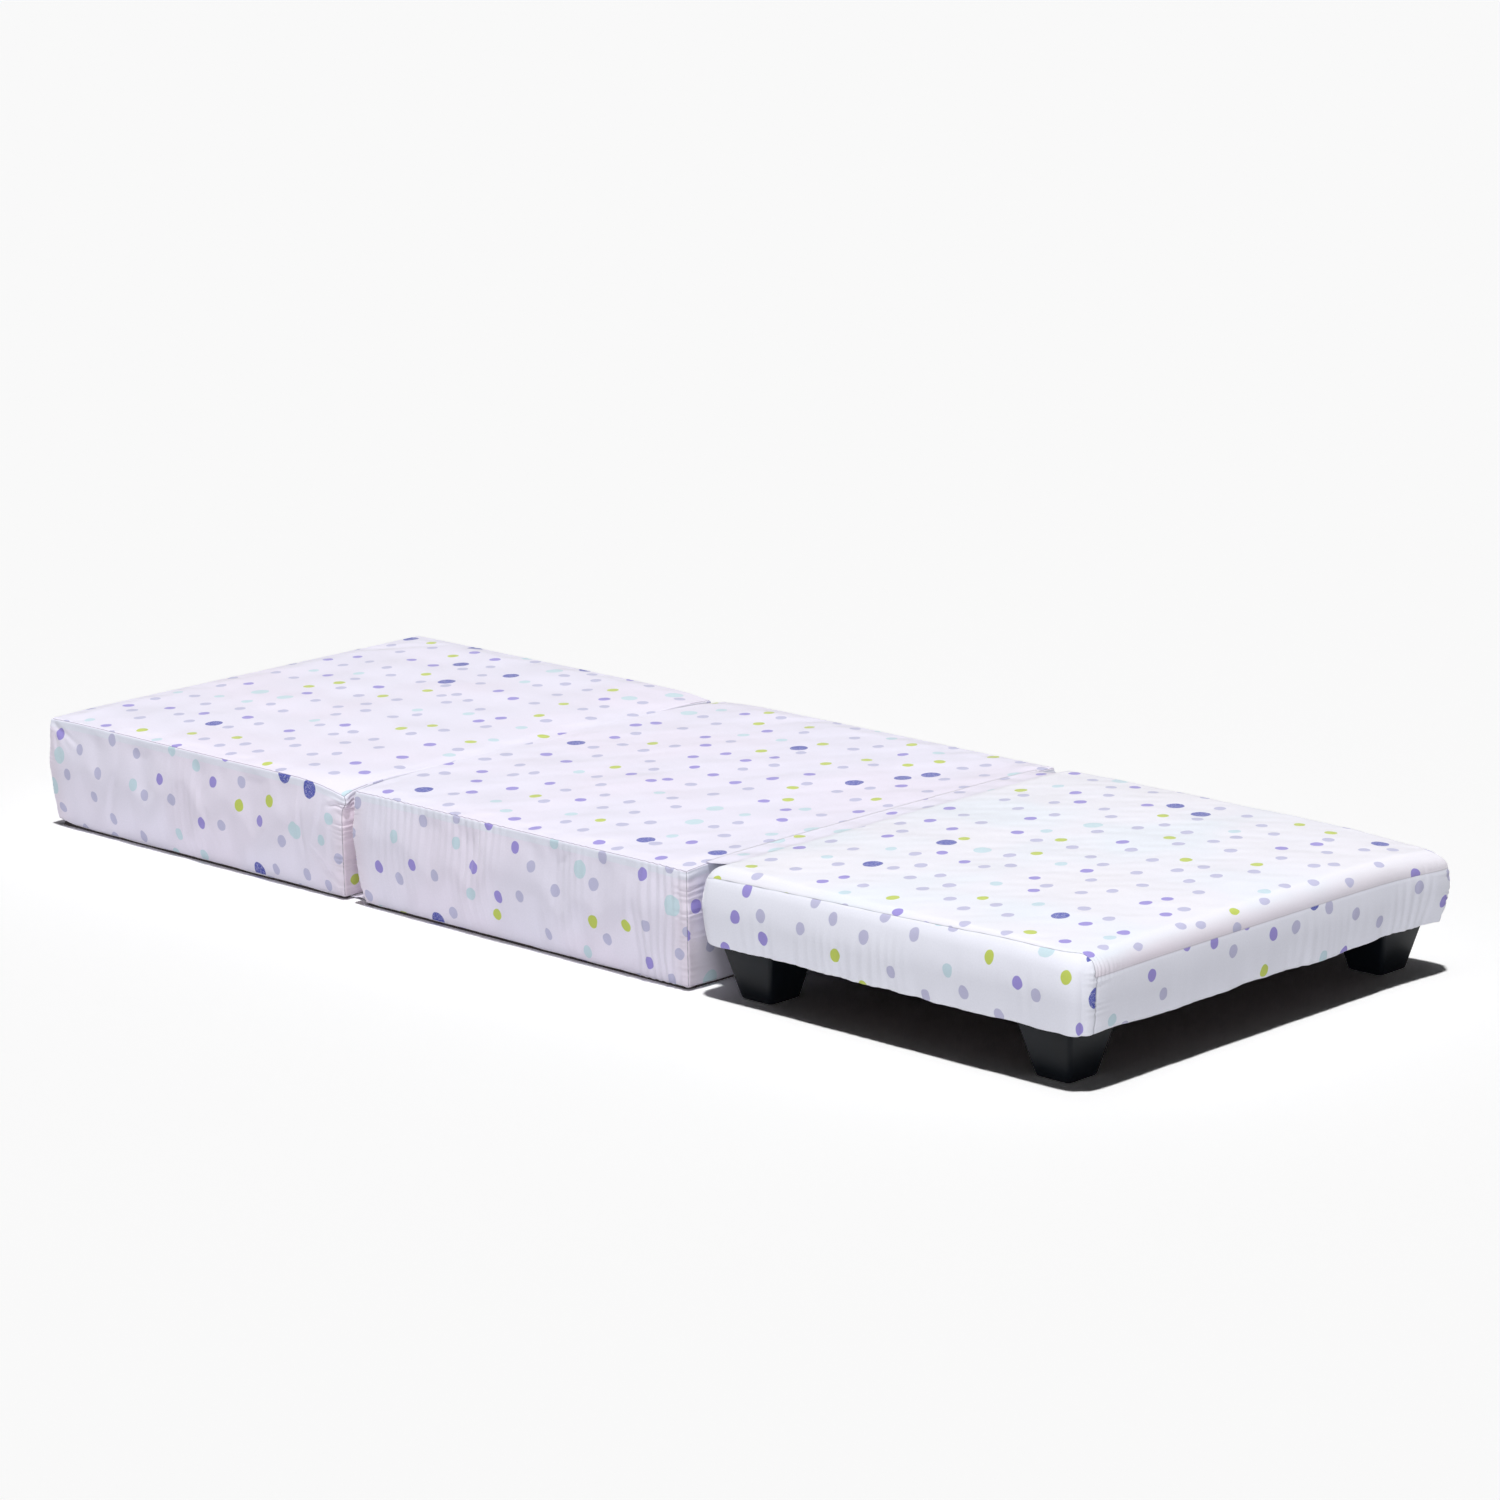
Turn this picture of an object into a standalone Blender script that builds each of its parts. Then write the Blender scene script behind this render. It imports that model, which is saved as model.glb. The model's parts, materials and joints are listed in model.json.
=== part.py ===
"""Pouf bed, unfolded: a padded base on four legs with two box cushions hinged to it in a row.

Metres, +Z up. The origin is on the floor under the middle of the bed. +X runs from the head cushion to
the padded base and -Y is the front. The middle cushion turns about the cloth hinge along its top edge,
and the head cushion about the one along its bottom edge, so that the three sections fold into a pouf.
"""

from math import pi

import bmesh
import bpy
from mathutils import Matrix, Vector

# Sizes of the whole bed
SECTION_LENGTH = 0.620
SECTION_WIDTH = 0.700
BED_HEIGHT = 0.157
HEAD_GAP = 0.028
BASE_GAP = 0.025
CLEARANCE = 0.0003
CUT_OVERRUN = 0.002

# Box cushions
COVER_THICKNESS = 0.0015
FOAM_GAP = 0.0005
CUSHION_CROWN = 0.004
CUSHION_SWELL = 0.006
CUSHION_TUCK = 0.005
CUSHION_CORNER_BAND = 0.022
CUSHION_ROW_SHARES = (1 / 3, 2 / 3)
CUSHION_SEAM_SHARE = 1.0
UNDERSIDE_THICKNESS = 0.003
UNDERSIDE_CORNER = 0.012
UNDERSIDE_REVEAL = 0.001

# Padded base
PAD_RISE = 0.008
PAD_CROWN = 0.006
PAD_SWELL = 0.006
PAD_TUCK = 0.004
PAD_CORNER_BAND = 0.030
PAD_ROW_SHARES = (1 / 3, 2 / 3)
PAD_FOAM_ROW_SHARES = (1 / 4,)
PAD_FOAM_INSET = 0.004
PAD_SEAM_SHARE = 0.0
PAD_HEM_DROP = 0.0015

# Timber frame
RAIL_THICKNESS = 0.020
RAIL_HEIGHT = 0.038
RAIL_INSET = 0.0085
FRAME_CORNER = 0.015
DECK_THICKNESS = 0.006
DUST_COVER_THICKNESS = 0.001
CORNER_BLOCK_REACH = 0.030

# Legs
LEG_HEIGHT = 0.070
LEG_FOOT = 0.053
LEG_TOP = 0.087
LEG_EDGE = 0.006
LEG_SIDE_MARGIN = 0.0075
LEG_END_MARGIN = 0.0245

# Fasteners
STUD_RADIUS = 0.004
STUD_IN_LEG = 0.018
NUT_BARREL_RADIUS = 0.0055
NUT_BARREL_LENGTH = 0.010
NUT_FLANGE_RADIUS = 0.011
NUT_FLANGE_THICKNESS = 0.0015
FRAME_SCREW_LENGTH = 0.050
DECK_SCREW_LENGTH = 0.025
SCREW_SHANK_RADIUS = 0.0022
SCREW_HEAD_RADIUS = 0.0042
SCREW_HEAD_DEPTH = 0.0025
DECK_SCREW_SHARE = 0.5

# Cloth hinges
FLAP_THICKNESS = 0.0012
FLAP_FLAT_END = 0.003
UPPER_FLAP_MARGIN = 0.035
UPPER_FLAP_LAP = 0.045
LOWER_FLAP_MARGIN = 0.015
LOWER_FLAP_LIFT = 0.0005

# Zips
ZIP_MARGIN = 0.080
ZIP_LENGTH = SECTION_LENGTH - 2 * ZIP_MARGIN
ZIP_HEIGHT = 0.006
ZIP_THICKNESS = 0.0015
ZIP_LEVEL = 0.016
SLIDER_LENGTH = 0.011
SLIDER_HEIGHT = 0.009
SLIDER_THICKNESS = 0.003
PULL_LENGTH = 0.022
PULL_HEIGHT = 0.005
PULL_THICKNESS = 0.0012
PULL_OVERLAP = 0.002

# Shares of the piece that each belongs to
CORE_SHARE = 0.38
OUTER_SHARE = 0.999

# Facets round a circle and across a rounded edge
TURNED_STEPS = 12
EDGE_SEGMENTS = 3

# Places along the bed
BED_LENGTH = 3 * SECTION_LENGTH + HEAD_GAP + BASE_GAP
HEAD_X = (SECTION_LENGTH - BED_LENGTH) / 2
MIDDLE_X = HEAD_X + SECTION_LENGTH + HEAD_GAP
BASE_X = MIDDLE_X + SECTION_LENGTH + BASE_GAP
HEAD_HINGE_X = MIDDLE_X - (SECTION_LENGTH + HEAD_GAP) / 2
BASE_HINGE_X = MIDDLE_X + (SECTION_LENGTH + BASE_GAP) / 2

# Heights
CUSHION_LOW = UNDERSIDE_THICKNESS + CLEARANCE
HEAD_HINGE_Z = -CLEARANCE / 2
PAD_TOP = BED_HEIGHT + PAD_RISE
BASE_HINGE_Z = (BED_HEIGHT + CUSHION_CROWN + PAD_TOP + PAD_CROWN + CLEARANCE) / 2
PAD_LOW = LEG_HEIGHT - PAD_HEM_DROP
DUST_COVER_LOW = LEG_HEIGHT + CLEARANCE
RAIL_LOW = DUST_COVER_LOW + DUST_COVER_THICKNESS + CLEARANCE
RAIL_TOP = RAIL_LOW + RAIL_HEIGHT
DECK_LOW = RAIL_TOP + CLEARANCE
DECK_TOP = DECK_LOW + DECK_THICKNESS
PAD_FOAM_LOW = DECK_TOP + CLEARANCE
PAD_FOAM_TOP = PAD_TOP - COVER_THICKNESS - FOAM_GAP

# Half sizes of the frame, from the middle of the base
FRAME_HALF_LENGTH = SECTION_LENGTH / 2 - RAIL_INSET
FRAME_HALF_WIDTH = SECTION_WIDTH / 2 - RAIL_INSET
INNER_HALF_LENGTH = FRAME_HALF_LENGTH - RAIL_THICKNESS
INNER_HALF_WIDTH = FRAME_HALF_WIDTH - RAIL_THICKNESS
LEG_HALF_SPACING_X = SECTION_LENGTH / 2 - LEG_END_MARGIN - LEG_TOP / 2
LEG_HALF_SPACING_Y = SECTION_WIDTH / 2 - LEG_SIDE_MARGIN - LEG_TOP / 2

# Finishes: linear RGB, roughness and metallic
PRINTED_COTTON = ((0.83, 0.81, 0.88), 0.9, 0.0)
DARK_CLOTH = ((0.035, 0.028, 0.034), 0.95, 0.0)
BLACK_PLASTIC = ((0.016, 0.018, 0.021), 0.35, 0.0)
FOAM = ((0.78, 0.74, 0.60), 0.95, 0.0)
PINE = ((0.62, 0.44, 0.25), 0.7, 0.0)
PLYWOOD = ((0.56, 0.40, 0.24), 0.7, 0.0)
ZINC = ((0.55, 0.56, 0.58), 0.35, 0.9)
ZIP_NYLON = ((0.78, 0.78, 0.82), 0.5, 0.0)


def empty_scene():
    for old in list(bpy.data.objects):
        bpy.data.objects.remove(old, do_unlink=True)


def new_collection(name, parent):
    collection = bpy.data.collections.new(name)
    parent.children.link(collection)
    return collection


empty_scene()
BED = new_collection("Pouf bed", bpy.context.scene.collection)
CUTTERS = new_collection("Cutters", bpy.context.scene.collection)
SIDES = (("front", -1), ("back", 1))
ENDS = (("hinge", -1), ("free", 1))


# Helpers


def paint(piece, finish):
    """Give a piece its own Principled material."""
    colour, roughness, metallic = finish
    material = bpy.data.materials.new(piece.name)
    material.use_nodes = True
    shader = material.node_tree.nodes["Principled BSDF"]
    shader.inputs["Base Color"].default_value = (*colour, 1.0)
    shader.inputs["Roughness"].default_value = roughness
    shader.inputs["Metallic"].default_value = metallic
    material.diffuse_color = (*colour, 1.0)
    piece.data.materials.append(material)
    return piece


def add_piece(name, shape, place=(0, 0, 0), collection=BED):
    """Turn a bmesh into an object in a collection."""
    mesh = bpy.data.meshes.new(name)
    shape.to_mesh(mesh)
    shape.free()
    piece = bpy.data.objects.new(name, mesh)
    piece.location = place
    collection.objects.link(piece)
    return piece


def join(piece, other):
    """Fuse another shape into a piece and keep that shape as a guide."""
    other.hide_render = True
    other.display_type = "WIRE"
    union = piece.modifiers.new("Joined", "BOOLEAN")
    union.operation = "UNION"
    union.object = other
    union.solver = "EXACT"


def cut_all(piece, cutters):
    """Cut a piece by every shape in a collection."""
    holes = piece.modifiers.new(cutters.name, "BOOLEAN")
    holes.operation = "DIFFERENCE"
    holes.operand_type = "COLLECTION"
    holes.collection = cutters
    holes.solver = "EXACT"


def box_shape(length, width, height):
    shape = bmesh.new()
    bmesh.ops.create_cube(shape, size=1)
    bmesh.ops.scale(shape, vec=(length, width, height), verts=shape.verts)
    return shape


def add_box(name, low, high):
    """A box between two corners."""
    low, high = Vector(low), Vector(high)
    return add_piece(name, box_shape(*(high - low)), (low + high) / 2)


def round_uprights(piece, radius, chosen=lambda place: True):
    """Bevel the upright edges whose place, from the piece's middle, is chosen."""
    shape = bmesh.new()
    shape.from_mesh(piece.data)
    weights = shape.edges.layers.float.new("bevel_weight_edge")
    for edge in shape.edges:
        run = edge.verts[1].co - edge.verts[0].co
        upright = abs(run.z) > OUTER_SHARE * piece.dimensions.z
        if upright and chosen((edge.verts[0].co + edge.verts[1].co) / 2):
            edge[weights] = 1
    shape.to_mesh(piece.data)
    shape.free()
    bevel = piece.modifiers.new("Rounded uprights", "BEVEL")
    bevel.limit_method = "WEIGHT"
    bevel.width = radius
    bevel.segments = EDGE_SEGMENTS


def add_turned(name, profile, place, turn_to=None, collection=BED):
    """A profile of (radius, height) points turned about the upright axis."""
    shape = bmesh.new()
    points = [shape.verts.new((radius, 0, height)) for radius, height in profile]
    for first, second in zip(points, points[1:], strict=False):
        shape.edges.new((first, second))
    piece = add_piece(name, shape, place, collection)
    piece.rotation_euler = turn_to or (0, 0, 0)
    screw = piece.modifiers.new("Turned", "SCREW")
    screw.axis = "Z"
    screw.angle = 2 * pi
    screw.steps = TURNED_STEPS
    screw.render_steps = TURNED_STEPS
    screw.use_merge_vertices = True
    screw.merge_threshold = CLEARANCE / 10
    screw.use_smooth_shade = False
    return piece


def slice_across(shape, axis, place):
    """Add a loop of edges where a plane square to an axis cuts the shape."""
    normal = Vector((0, 0, 0))
    normal[axis] = 1
    everything = shape.verts[:] + shape.edges[:] + shape.faces[:]
    bmesh.ops.bisect_plane(shape, geom=everything, plane_co=normal * place, plane_no=normal)


# Soft forms


def side_outset(share, swell, tuck):
    """How far a side stands out at a share of its height: swollen at the middle, drawn in at the foot."""
    return swell * 4 * share * (1 - share) - tuck * (1 - share) ** 2


def crown_at(across, along, crown):
    """How far the top rises at shares of the half length and half width."""
    return crown * (1 - across**2) * (1 - along**2)


def soft_cage(length, width, low, high, row_shares, crown, swell, tuck, band, seam, closed):
    """A coarse box whose top is crowned and whose sides swell, for a Subdivision Surface."""
    shape = box_shape(length, width, high - low)
    bmesh.ops.translate(shape, vec=(0, 0, (low + high) / 2), verts=shape.verts)
    for axis, size in enumerate((length, width)):
        core = CORE_SHARE * size / 2
        for place in (band - size / 2, -core, core, size / 2 - band):
            slice_across(shape, axis, place)
    for share in row_shares:
        slice_across(shape, 2, low + share * (high - low))

    def shares(place):
        return 2 * place.x / length, 2 * place.y / width, (place.z - low) / (high - low)

    creases = shape.edges.layers.float.new("crease_edge")
    for edge in shape.edges:
        across, along, up = shares((edge.verts[0].co + edge.verts[1].co) / 2)
        if max(abs(across), abs(along)) > OUTER_SHARE:
            if up > OUTER_SHARE:
                edge[creases] = seam
            if up < 1 - OUTER_SHARE:
                edge[creases] = 1
    if not closed:
        under = [face for face in shape.faces if face.normal.z < -OUTER_SHARE]
        bmesh.ops.delete(shape, geom=under, context="FACES")
    for vert in shape.verts:
        across, along, up = shares(vert.co)
        outset = side_outset(up, swell, tuck)
        vert.co.z += up * crown_at(across, along, crown)
        if abs(across) > OUTER_SHARE:
            vert.co.x += outset if across > 0 else -outset
        if abs(along) > OUTER_SHARE:
            vert.co.y += outset if along > 0 else -outset
    return shape


def smooth_form(piece):
    piece.data.shade_smooth()
    smooth = piece.modifiers.new("Soft form", "SUBSURF")
    smooth.levels = 1
    smooth.render_levels = 1


def add_cover(name, place, shape):
    """A cloth shell, open underneath."""
    cover = add_piece(name, shape, place)
    smooth_form(cover)
    cloth = cover.modifiers.new("Cloth", "SOLIDIFY")
    cloth.thickness = COVER_THICKNESS
    cloth.offset = -1
    cloth.use_even_offset = True
    return paint(cover, PRINTED_COTTON)


def add_foam(name, place, shape):
    foam = add_piece(name, shape, place)
    smooth_form(foam)
    return paint(foam, FOAM)


# Box cushions


def cushion_cage(inset, closed):
    return soft_cage(
        SECTION_LENGTH - 2 * inset,
        SECTION_WIDTH - 2 * inset,
        CUSHION_LOW,
        BED_HEIGHT - inset,
        CUSHION_ROW_SHARES,
        CUSHION_CROWN,
        CUSHION_SWELL,
        CUSHION_TUCK,
        CUSHION_CORNER_BAND,
        CUSHION_SEAM_SHARE,
        closed,
    )


def cushion_row_outset(height):
    """The straight line between the two cage rows that a low height lies between."""
    share = (height - CUSHION_LOW) / (BED_HEIGHT - CUSHION_LOW)
    first_row = CUSHION_ROW_SHARES[0]
    foot = side_outset(0, CUSHION_SWELL, CUSHION_TUCK)
    row = side_outset(first_row, CUSHION_SWELL, CUSHION_TUCK)
    return foot + (row - foot) * share / first_row


UNDERSIDE_INSET = CUSHION_TUCK + UNDERSIDE_REVEAL
UNDERSIDE_HALF_LENGTH = SECTION_LENGTH / 2 - UNDERSIDE_INSET
UNDERSIDE_HALF_WIDTH = SECTION_WIDTH / 2 - UNDERSIDE_INSET


def add_underside(name, middle_x):
    panel = add_box(
        name,
        (middle_x - UNDERSIDE_HALF_LENGTH, -UNDERSIDE_HALF_WIDTH, 0),
        (middle_x + UNDERSIDE_HALF_LENGTH, UNDERSIDE_HALF_WIDTH, UNDERSIDE_THICKNESS),
    )
    round_uprights(panel, UNDERSIDE_CORNER)
    return paint(panel, DARK_CLOTH)


def add_zip(name, middle_x):
    """A nylon zip low on the back face, with its slider closed at the +X end."""
    top = ZIP_LEVEL + ZIP_HEIGHT / 2
    face = SECTION_WIDTH / 2 + cushion_row_outset(top) + CLEARANCE
    teeth = add_box(
        name,
        (middle_x - ZIP_LENGTH / 2, face, ZIP_LEVEL - ZIP_HEIGHT / 2),
        (middle_x + ZIP_LENGTH / 2, face + ZIP_THICKNESS, top),
    )
    paint(teeth, ZIP_NYLON)
    over = face + ZIP_THICKNESS + CLEARANCE
    slider_end = middle_x + ZIP_LENGTH / 2
    slider = add_box(
        name + "_slider",
        (slider_end - SLIDER_LENGTH, over, ZIP_LEVEL - SLIDER_HEIGHT / 2),
        (slider_end, over + SLIDER_THICKNESS, ZIP_LEVEL + SLIDER_HEIGHT / 2),
    )
    pull_middle = (
        slider_end - SLIDER_LENGTH + PULL_OVERLAP - PULL_LENGTH / 2,
        over + SLIDER_THICKNESS / 2,
        ZIP_LEVEL,
    )
    pull_shape = box_shape(PULL_LENGTH, PULL_THICKNESS, PULL_HEIGHT)
    join(slider, add_piece(name + "_pull", pull_shape, pull_middle, CUTTERS))
    paint(slider, ZINC)
    return [teeth, slider]


def add_cushion(name, middle_x):
    place = (middle_x, 0, 0)
    cover = add_cover(name + "_cover", place, cushion_cage(0, False))
    foam = add_foam(name + "_foam", place, cushion_cage(COVER_THICKNESS + FOAM_GAP, True))
    underside = add_underside(name + "_underside", middle_x)
    return [cover, foam, underside, *add_zip(name + "_zip", middle_x)]


# Padded base


def add_pad():
    place = (BASE_X, 0, 0)
    cover_shape = soft_cage(
        SECTION_LENGTH,
        SECTION_WIDTH,
        PAD_LOW,
        PAD_TOP,
        PAD_ROW_SHARES,
        PAD_CROWN,
        PAD_SWELL,
        PAD_TUCK,
        PAD_CORNER_BAND,
        PAD_SEAM_SHARE,
        False,
    )
    add_cover("pad_cover", place, cover_shape)
    inset = COVER_THICKNESS + PAD_FOAM_INSET
    foam_shape = soft_cage(
        SECTION_LENGTH - 2 * inset,
        SECTION_WIDTH - 2 * inset,
        PAD_FOAM_LOW,
        PAD_FOAM_TOP,
        PAD_FOAM_ROW_SHARES,
        PAD_CROWN,
        PAD_SWELL,
        PAD_TUCK,
        PAD_CORNER_BAND,
        PAD_SEAM_SHARE,
        True,
    )
    add_foam("pad_foam", place, foam_shape)


# Timber frame


def screw_points(length, grow=0):
    """A countersunk screw's outside, its head level with the origin, as (radius, height) points."""
    head = SCREW_HEAD_RADIUS + grow
    shank = SCREW_SHANK_RADIUS + grow
    tip = -length - grow
    above = [(0, CUT_OVERRUN), (head, CUT_OVERRUN)] if grow else [(0, 0)]
    return [*above, (head, 0), (shank, -SCREW_HEAD_DEPTH), (shank, tip), (0, tip)]


def rod_points(radius, top, foot):
    return [(0, top), (radius, top), (radius, foot), (0, foot)]


def nut_points(grow=0):
    """A tee nut's outside, its flange level with the origin, as (radius, height) points."""
    flange = NUT_FLANGE_RADIUS + grow
    barrel = NUT_BARREL_RADIUS + grow
    under_flange = -NUT_FLANGE_THICKNESS - grow
    foot = under_flange - NUT_BARREL_LENGTH
    return [(flange, 0), (flange, under_flange), (barrel, under_flange), (barrel, foot)]


def nut_hole_points():
    grown = nut_points(CLEARANCE)
    above = [(0, CUT_OVERRUN), (grown[0][0], CUT_OVERRUN)]
    return [*above, *grown[1:], (0, grown[-1][1])]


def add_hole(points, place, turn_to, holes):
    cutter = add_turned("hole", points, place, turn_to, holes)
    cutter.hide_render = True
    cutter.display_type = "WIRE"


def add_screw(name, length, place, turn_to, holes):
    add_hole(screw_points(length, CLEARANCE), place, turn_to, holes)
    screw = add_turned(name, screw_points(length), place, turn_to)
    paint(screw, ZINC)


def add_rail(name, low, high, *holes):
    rail = add_box(name, low, high)
    for group in holes:
        cut_all(rail, group)
    return paint(rail, PINE)


def add_frame():
    """Two long rails, three cross rails between them and the screws that hold them."""
    screw_holes = new_collection("Frame screw holes", CUTTERS)
    deck_holes = new_collection("Deck screw holes", CUTTERS)
    ends = FRAME_HALF_LENGTH - RAIL_THICKNESS / 2
    reach = INNER_HALF_WIDTH - CLEARANCE
    for name, offset in (("hinge_end", -ends), ("centre", 0), ("free_end", ends)):
        low_x = BASE_X + offset - RAIL_THICKNESS / 2
        low, high = (low_x, -reach, RAIL_LOW), (low_x + RAIL_THICKNESS, reach, RAIL_TOP)
        add_rail("rail_" + name, low, high, screw_holes)
        for side_name, side in SIDES:
            place = (BASE_X + offset, side * FRAME_HALF_WIDTH, (RAIL_LOW + RAIL_TOP) / 2)
            outward = (-side * pi / 2, 0, 0)
            add_screw(f"frame_screw_{side_name}_{name}", FRAME_SCREW_LENGTH, place, outward, screw_holes)
    for side_name, side in SIDES:
        near, far = sorted((side * INNER_HALF_WIDTH, side * FRAME_HALF_WIDTH))
        low = (BASE_X - FRAME_HALF_LENGTH, near, RAIL_LOW)
        high = (BASE_X + FRAME_HALF_LENGTH, far, RAIL_TOP)
        rail = add_rail("rail_" + side_name, low, high)
        round_uprights(rail, FRAME_CORNER, lambda place, side=side: place.y * side > 0)
        cut_all(rail, screw_holes)
        cut_all(rail, deck_holes)
        for end_name, end in ENDS:
            offset = end * FRAME_HALF_LENGTH * DECK_SCREW_SHARE
            place = (BASE_X + offset, (near + far) / 2, DECK_TOP)
            add_screw(f"deck_screw_{side_name}_{end_name}", DECK_SCREW_LENGTH, place, (0, 0, 0), deck_holes)
    deck = add_frame_sheet("deck_board", DECK_LOW, DECK_TOP)
    cut_all(deck, deck_holes)
    paint(deck, PLYWOOD)


def add_frame_sheet(name, low, high):
    """A sheet with the frame's own outline."""
    sheet = add_box(
        name,
        (BASE_X - FRAME_HALF_LENGTH, -FRAME_HALF_WIDTH, low),
        (BASE_X + FRAME_HALF_LENGTH, FRAME_HALF_WIDTH, high),
    )
    round_uprights(sheet, FRAME_CORNER)
    return sheet


def add_legs():
    """At each corner a block in the frame, a leg under it, and the stud and tee nut that join them."""
    stud_holes = new_collection("Stud holes", CUTTERS)
    nut_holes = new_collection("Nut holes", CUTTERS)
    stud_foot = LEG_HEIGHT - STUD_IN_LEG
    bore = STUD_RADIUS + CLEARANCE
    outside = nut_points()
    nut = [(bore, outside[0][1]), *outside, (bore, outside[-1][1]), (bore, outside[0][1])]
    for side_name, side in SIDES:
        for end_name, end in ENDS:
            corner = f"{side_name}_{end_name}"
            x, y = BASE_X + end * LEG_HALF_SPACING_X, side * LEG_HALF_SPACING_Y
            bore_points = rod_points(bore, RAIL_TOP + CUT_OVERRUN, stud_foot - CLEARANCE)
            add_hole(bore_points, (x, y, 0), None, stud_holes)
            add_hole(nut_hole_points(), (x, y, RAIL_TOP), None, nut_holes)
            stud_points = rod_points(STUD_RADIUS, RAIL_TOP, stud_foot)
            stud = add_turned("leg_stud_" + corner, stud_points, (x, y, 0))
            paint(stud, ZINC)
            paint(add_turned("tee_nut_" + corner, nut, (x, y, RAIL_TOP)), ZINC)
            add_leg("leg_" + corner, (x, y, LEG_HEIGHT / 2), stud_holes)
            add_corner_block("corner_block_" + corner, end, side, stud_holes, nut_holes)
    dust_cover = add_frame_sheet("dust_cover", DUST_COVER_LOW, DUST_COVER_LOW + DUST_COVER_THICKNESS)
    cut_all(dust_cover, stud_holes)
    paint(dust_cover, DARK_CLOTH)


def add_corner_block(name, end, side, *holes):
    """A block that fills the frame's inner corner and reaches past the leg's stud."""
    near = Vector((LEG_HALF_SPACING_X - CORNER_BLOCK_REACH, LEG_HALF_SPACING_Y - CORNER_BLOCK_REACH))
    far = Vector((INNER_HALF_LENGTH - CLEARANCE, INNER_HALF_WIDTH - CLEARANCE))
    middle = (near + far) / 2
    place = (BASE_X + end * middle.x, side * middle.y, (RAIL_LOW + RAIL_TOP) / 2)
    block = add_piece(name, box_shape(*(far - near), RAIL_HEIGHT), place)
    for group in holes:
        cut_all(block, group)
    paint(block, PINE)


def add_leg(name, place, stud_holes):
    """A square leg that tapers to its foot, with soft upright edges and a blind hole for its stud."""
    shape = bmesh.new()
    diagonal = 2**0.5 / 2
    bmesh.ops.create_cone(
        shape,
        cap_ends=True,
        segments=4,
        radius1=LEG_FOOT * diagonal,
        radius2=LEG_TOP * diagonal,
        depth=LEG_HEIGHT,
        matrix=Matrix.Rotation(pi / 4, 4, "Z"),
    )
    leg = add_piece(name, shape, place)
    round_uprights(leg, LEG_EDGE)
    cut_all(leg, stud_holes)
    paint(leg, BLACK_PLASTIC)


# Cloth hinges


def add_flap(name, path, half_width):
    """A strip of cloth that follows a path of (x, z) points along its upper face."""
    shape = bmesh.new()
    line = [shape.verts.new((x, -half_width, z)) for x, z in path]
    edges = [shape.edges.new(pair) for pair in zip(line, line[1:], strict=False)]
    grown = bmesh.ops.extrude_edge_only(shape, edges=edges)
    moved = [item for item in grown["geom"] if isinstance(item, bmesh.types.BMVert)]
    bmesh.ops.translate(shape, vec=(0, 2 * half_width, 0), verts=moved)
    for face in shape.faces:
        face.normal_update()
        if face.normal.z < 0:
            face.normal_flip()
    flap = add_piece(name, shape)
    cloth = flap.modifiers.new("Cloth", "SOLIDIFY")
    cloth.thickness = FLAP_THICKNESS
    cloth.offset = -1
    return paint(flap, PRINTED_COTTON)


def add_upper_flaps():
    """The hinge between middle cushion and base, split where it bends."""
    half_width = SECTION_WIDTH / 2 - UPPER_FLAP_MARGIN
    ridge = BASE_HINGE_Z - CLEARANCE / 2
    cushion_edge = MIDDLE_X + SECTION_LENGTH / 2 + 2 * CLEARANCE
    split = BASE_HINGE_X - CLEARANCE / 2
    on_cushion = [(cushion_edge, BED_HEIGHT), (split - FLAP_FLAT_END, ridge), (split, ridge)]
    split = BASE_HINGE_X + CLEARANCE / 2
    lap_share = 1 - 2 * UPPER_FLAP_LAP / SECTION_LENGTH
    seat = PAD_TOP + crown_at(lap_share, 0, PAD_CROWN) + CLEARANCE
    lap_end = BASE_X - SECTION_LENGTH / 2 + UPPER_FLAP_LAP
    on_base = [(split, ridge), (split + FLAP_FLAT_END, ridge), (lap_end, seat + FLAP_THICKNESS)]
    return (
        add_flap("upper_flap_middle", on_cushion, half_width),
        add_flap("upper_flap_base", on_base, half_width),
    )


def add_lower_flaps():
    """The hinge between head and middle cushions, split where it bends."""
    half_width = UNDERSIDE_HALF_WIDTH - LOWER_FLAP_MARGIN
    top = LOWER_FLAP_LIFT + FLAP_THICKNESS
    head_edge = HEAD_X + UNDERSIDE_HALF_LENGTH + CLEARANCE
    middle_edge = MIDDLE_X - UNDERSIDE_HALF_LENGTH - CLEARANCE
    on_head = [(head_edge, top), (HEAD_HINGE_X - CLEARANCE / 2, top)]
    on_middle = [(HEAD_HINGE_X + CLEARANCE / 2, top), (middle_edge, top)]
    return (
        add_flap("lower_flap_head", on_head, half_width),
        add_flap("lower_flap_middle", on_middle, half_width),
    )


# Assembly


def add_pivot(name, place):
    pivot = bpy.data.objects.new(name, None)
    pivot.location = place
    BED.objects.link(pivot)
    return pivot


def hang(piece, pivot, place):
    """Parent a piece to a pivot without moving it."""
    piece.parent = pivot
    piece.matrix_parent_inverse = Matrix.Translation(place).inverted()


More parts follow.
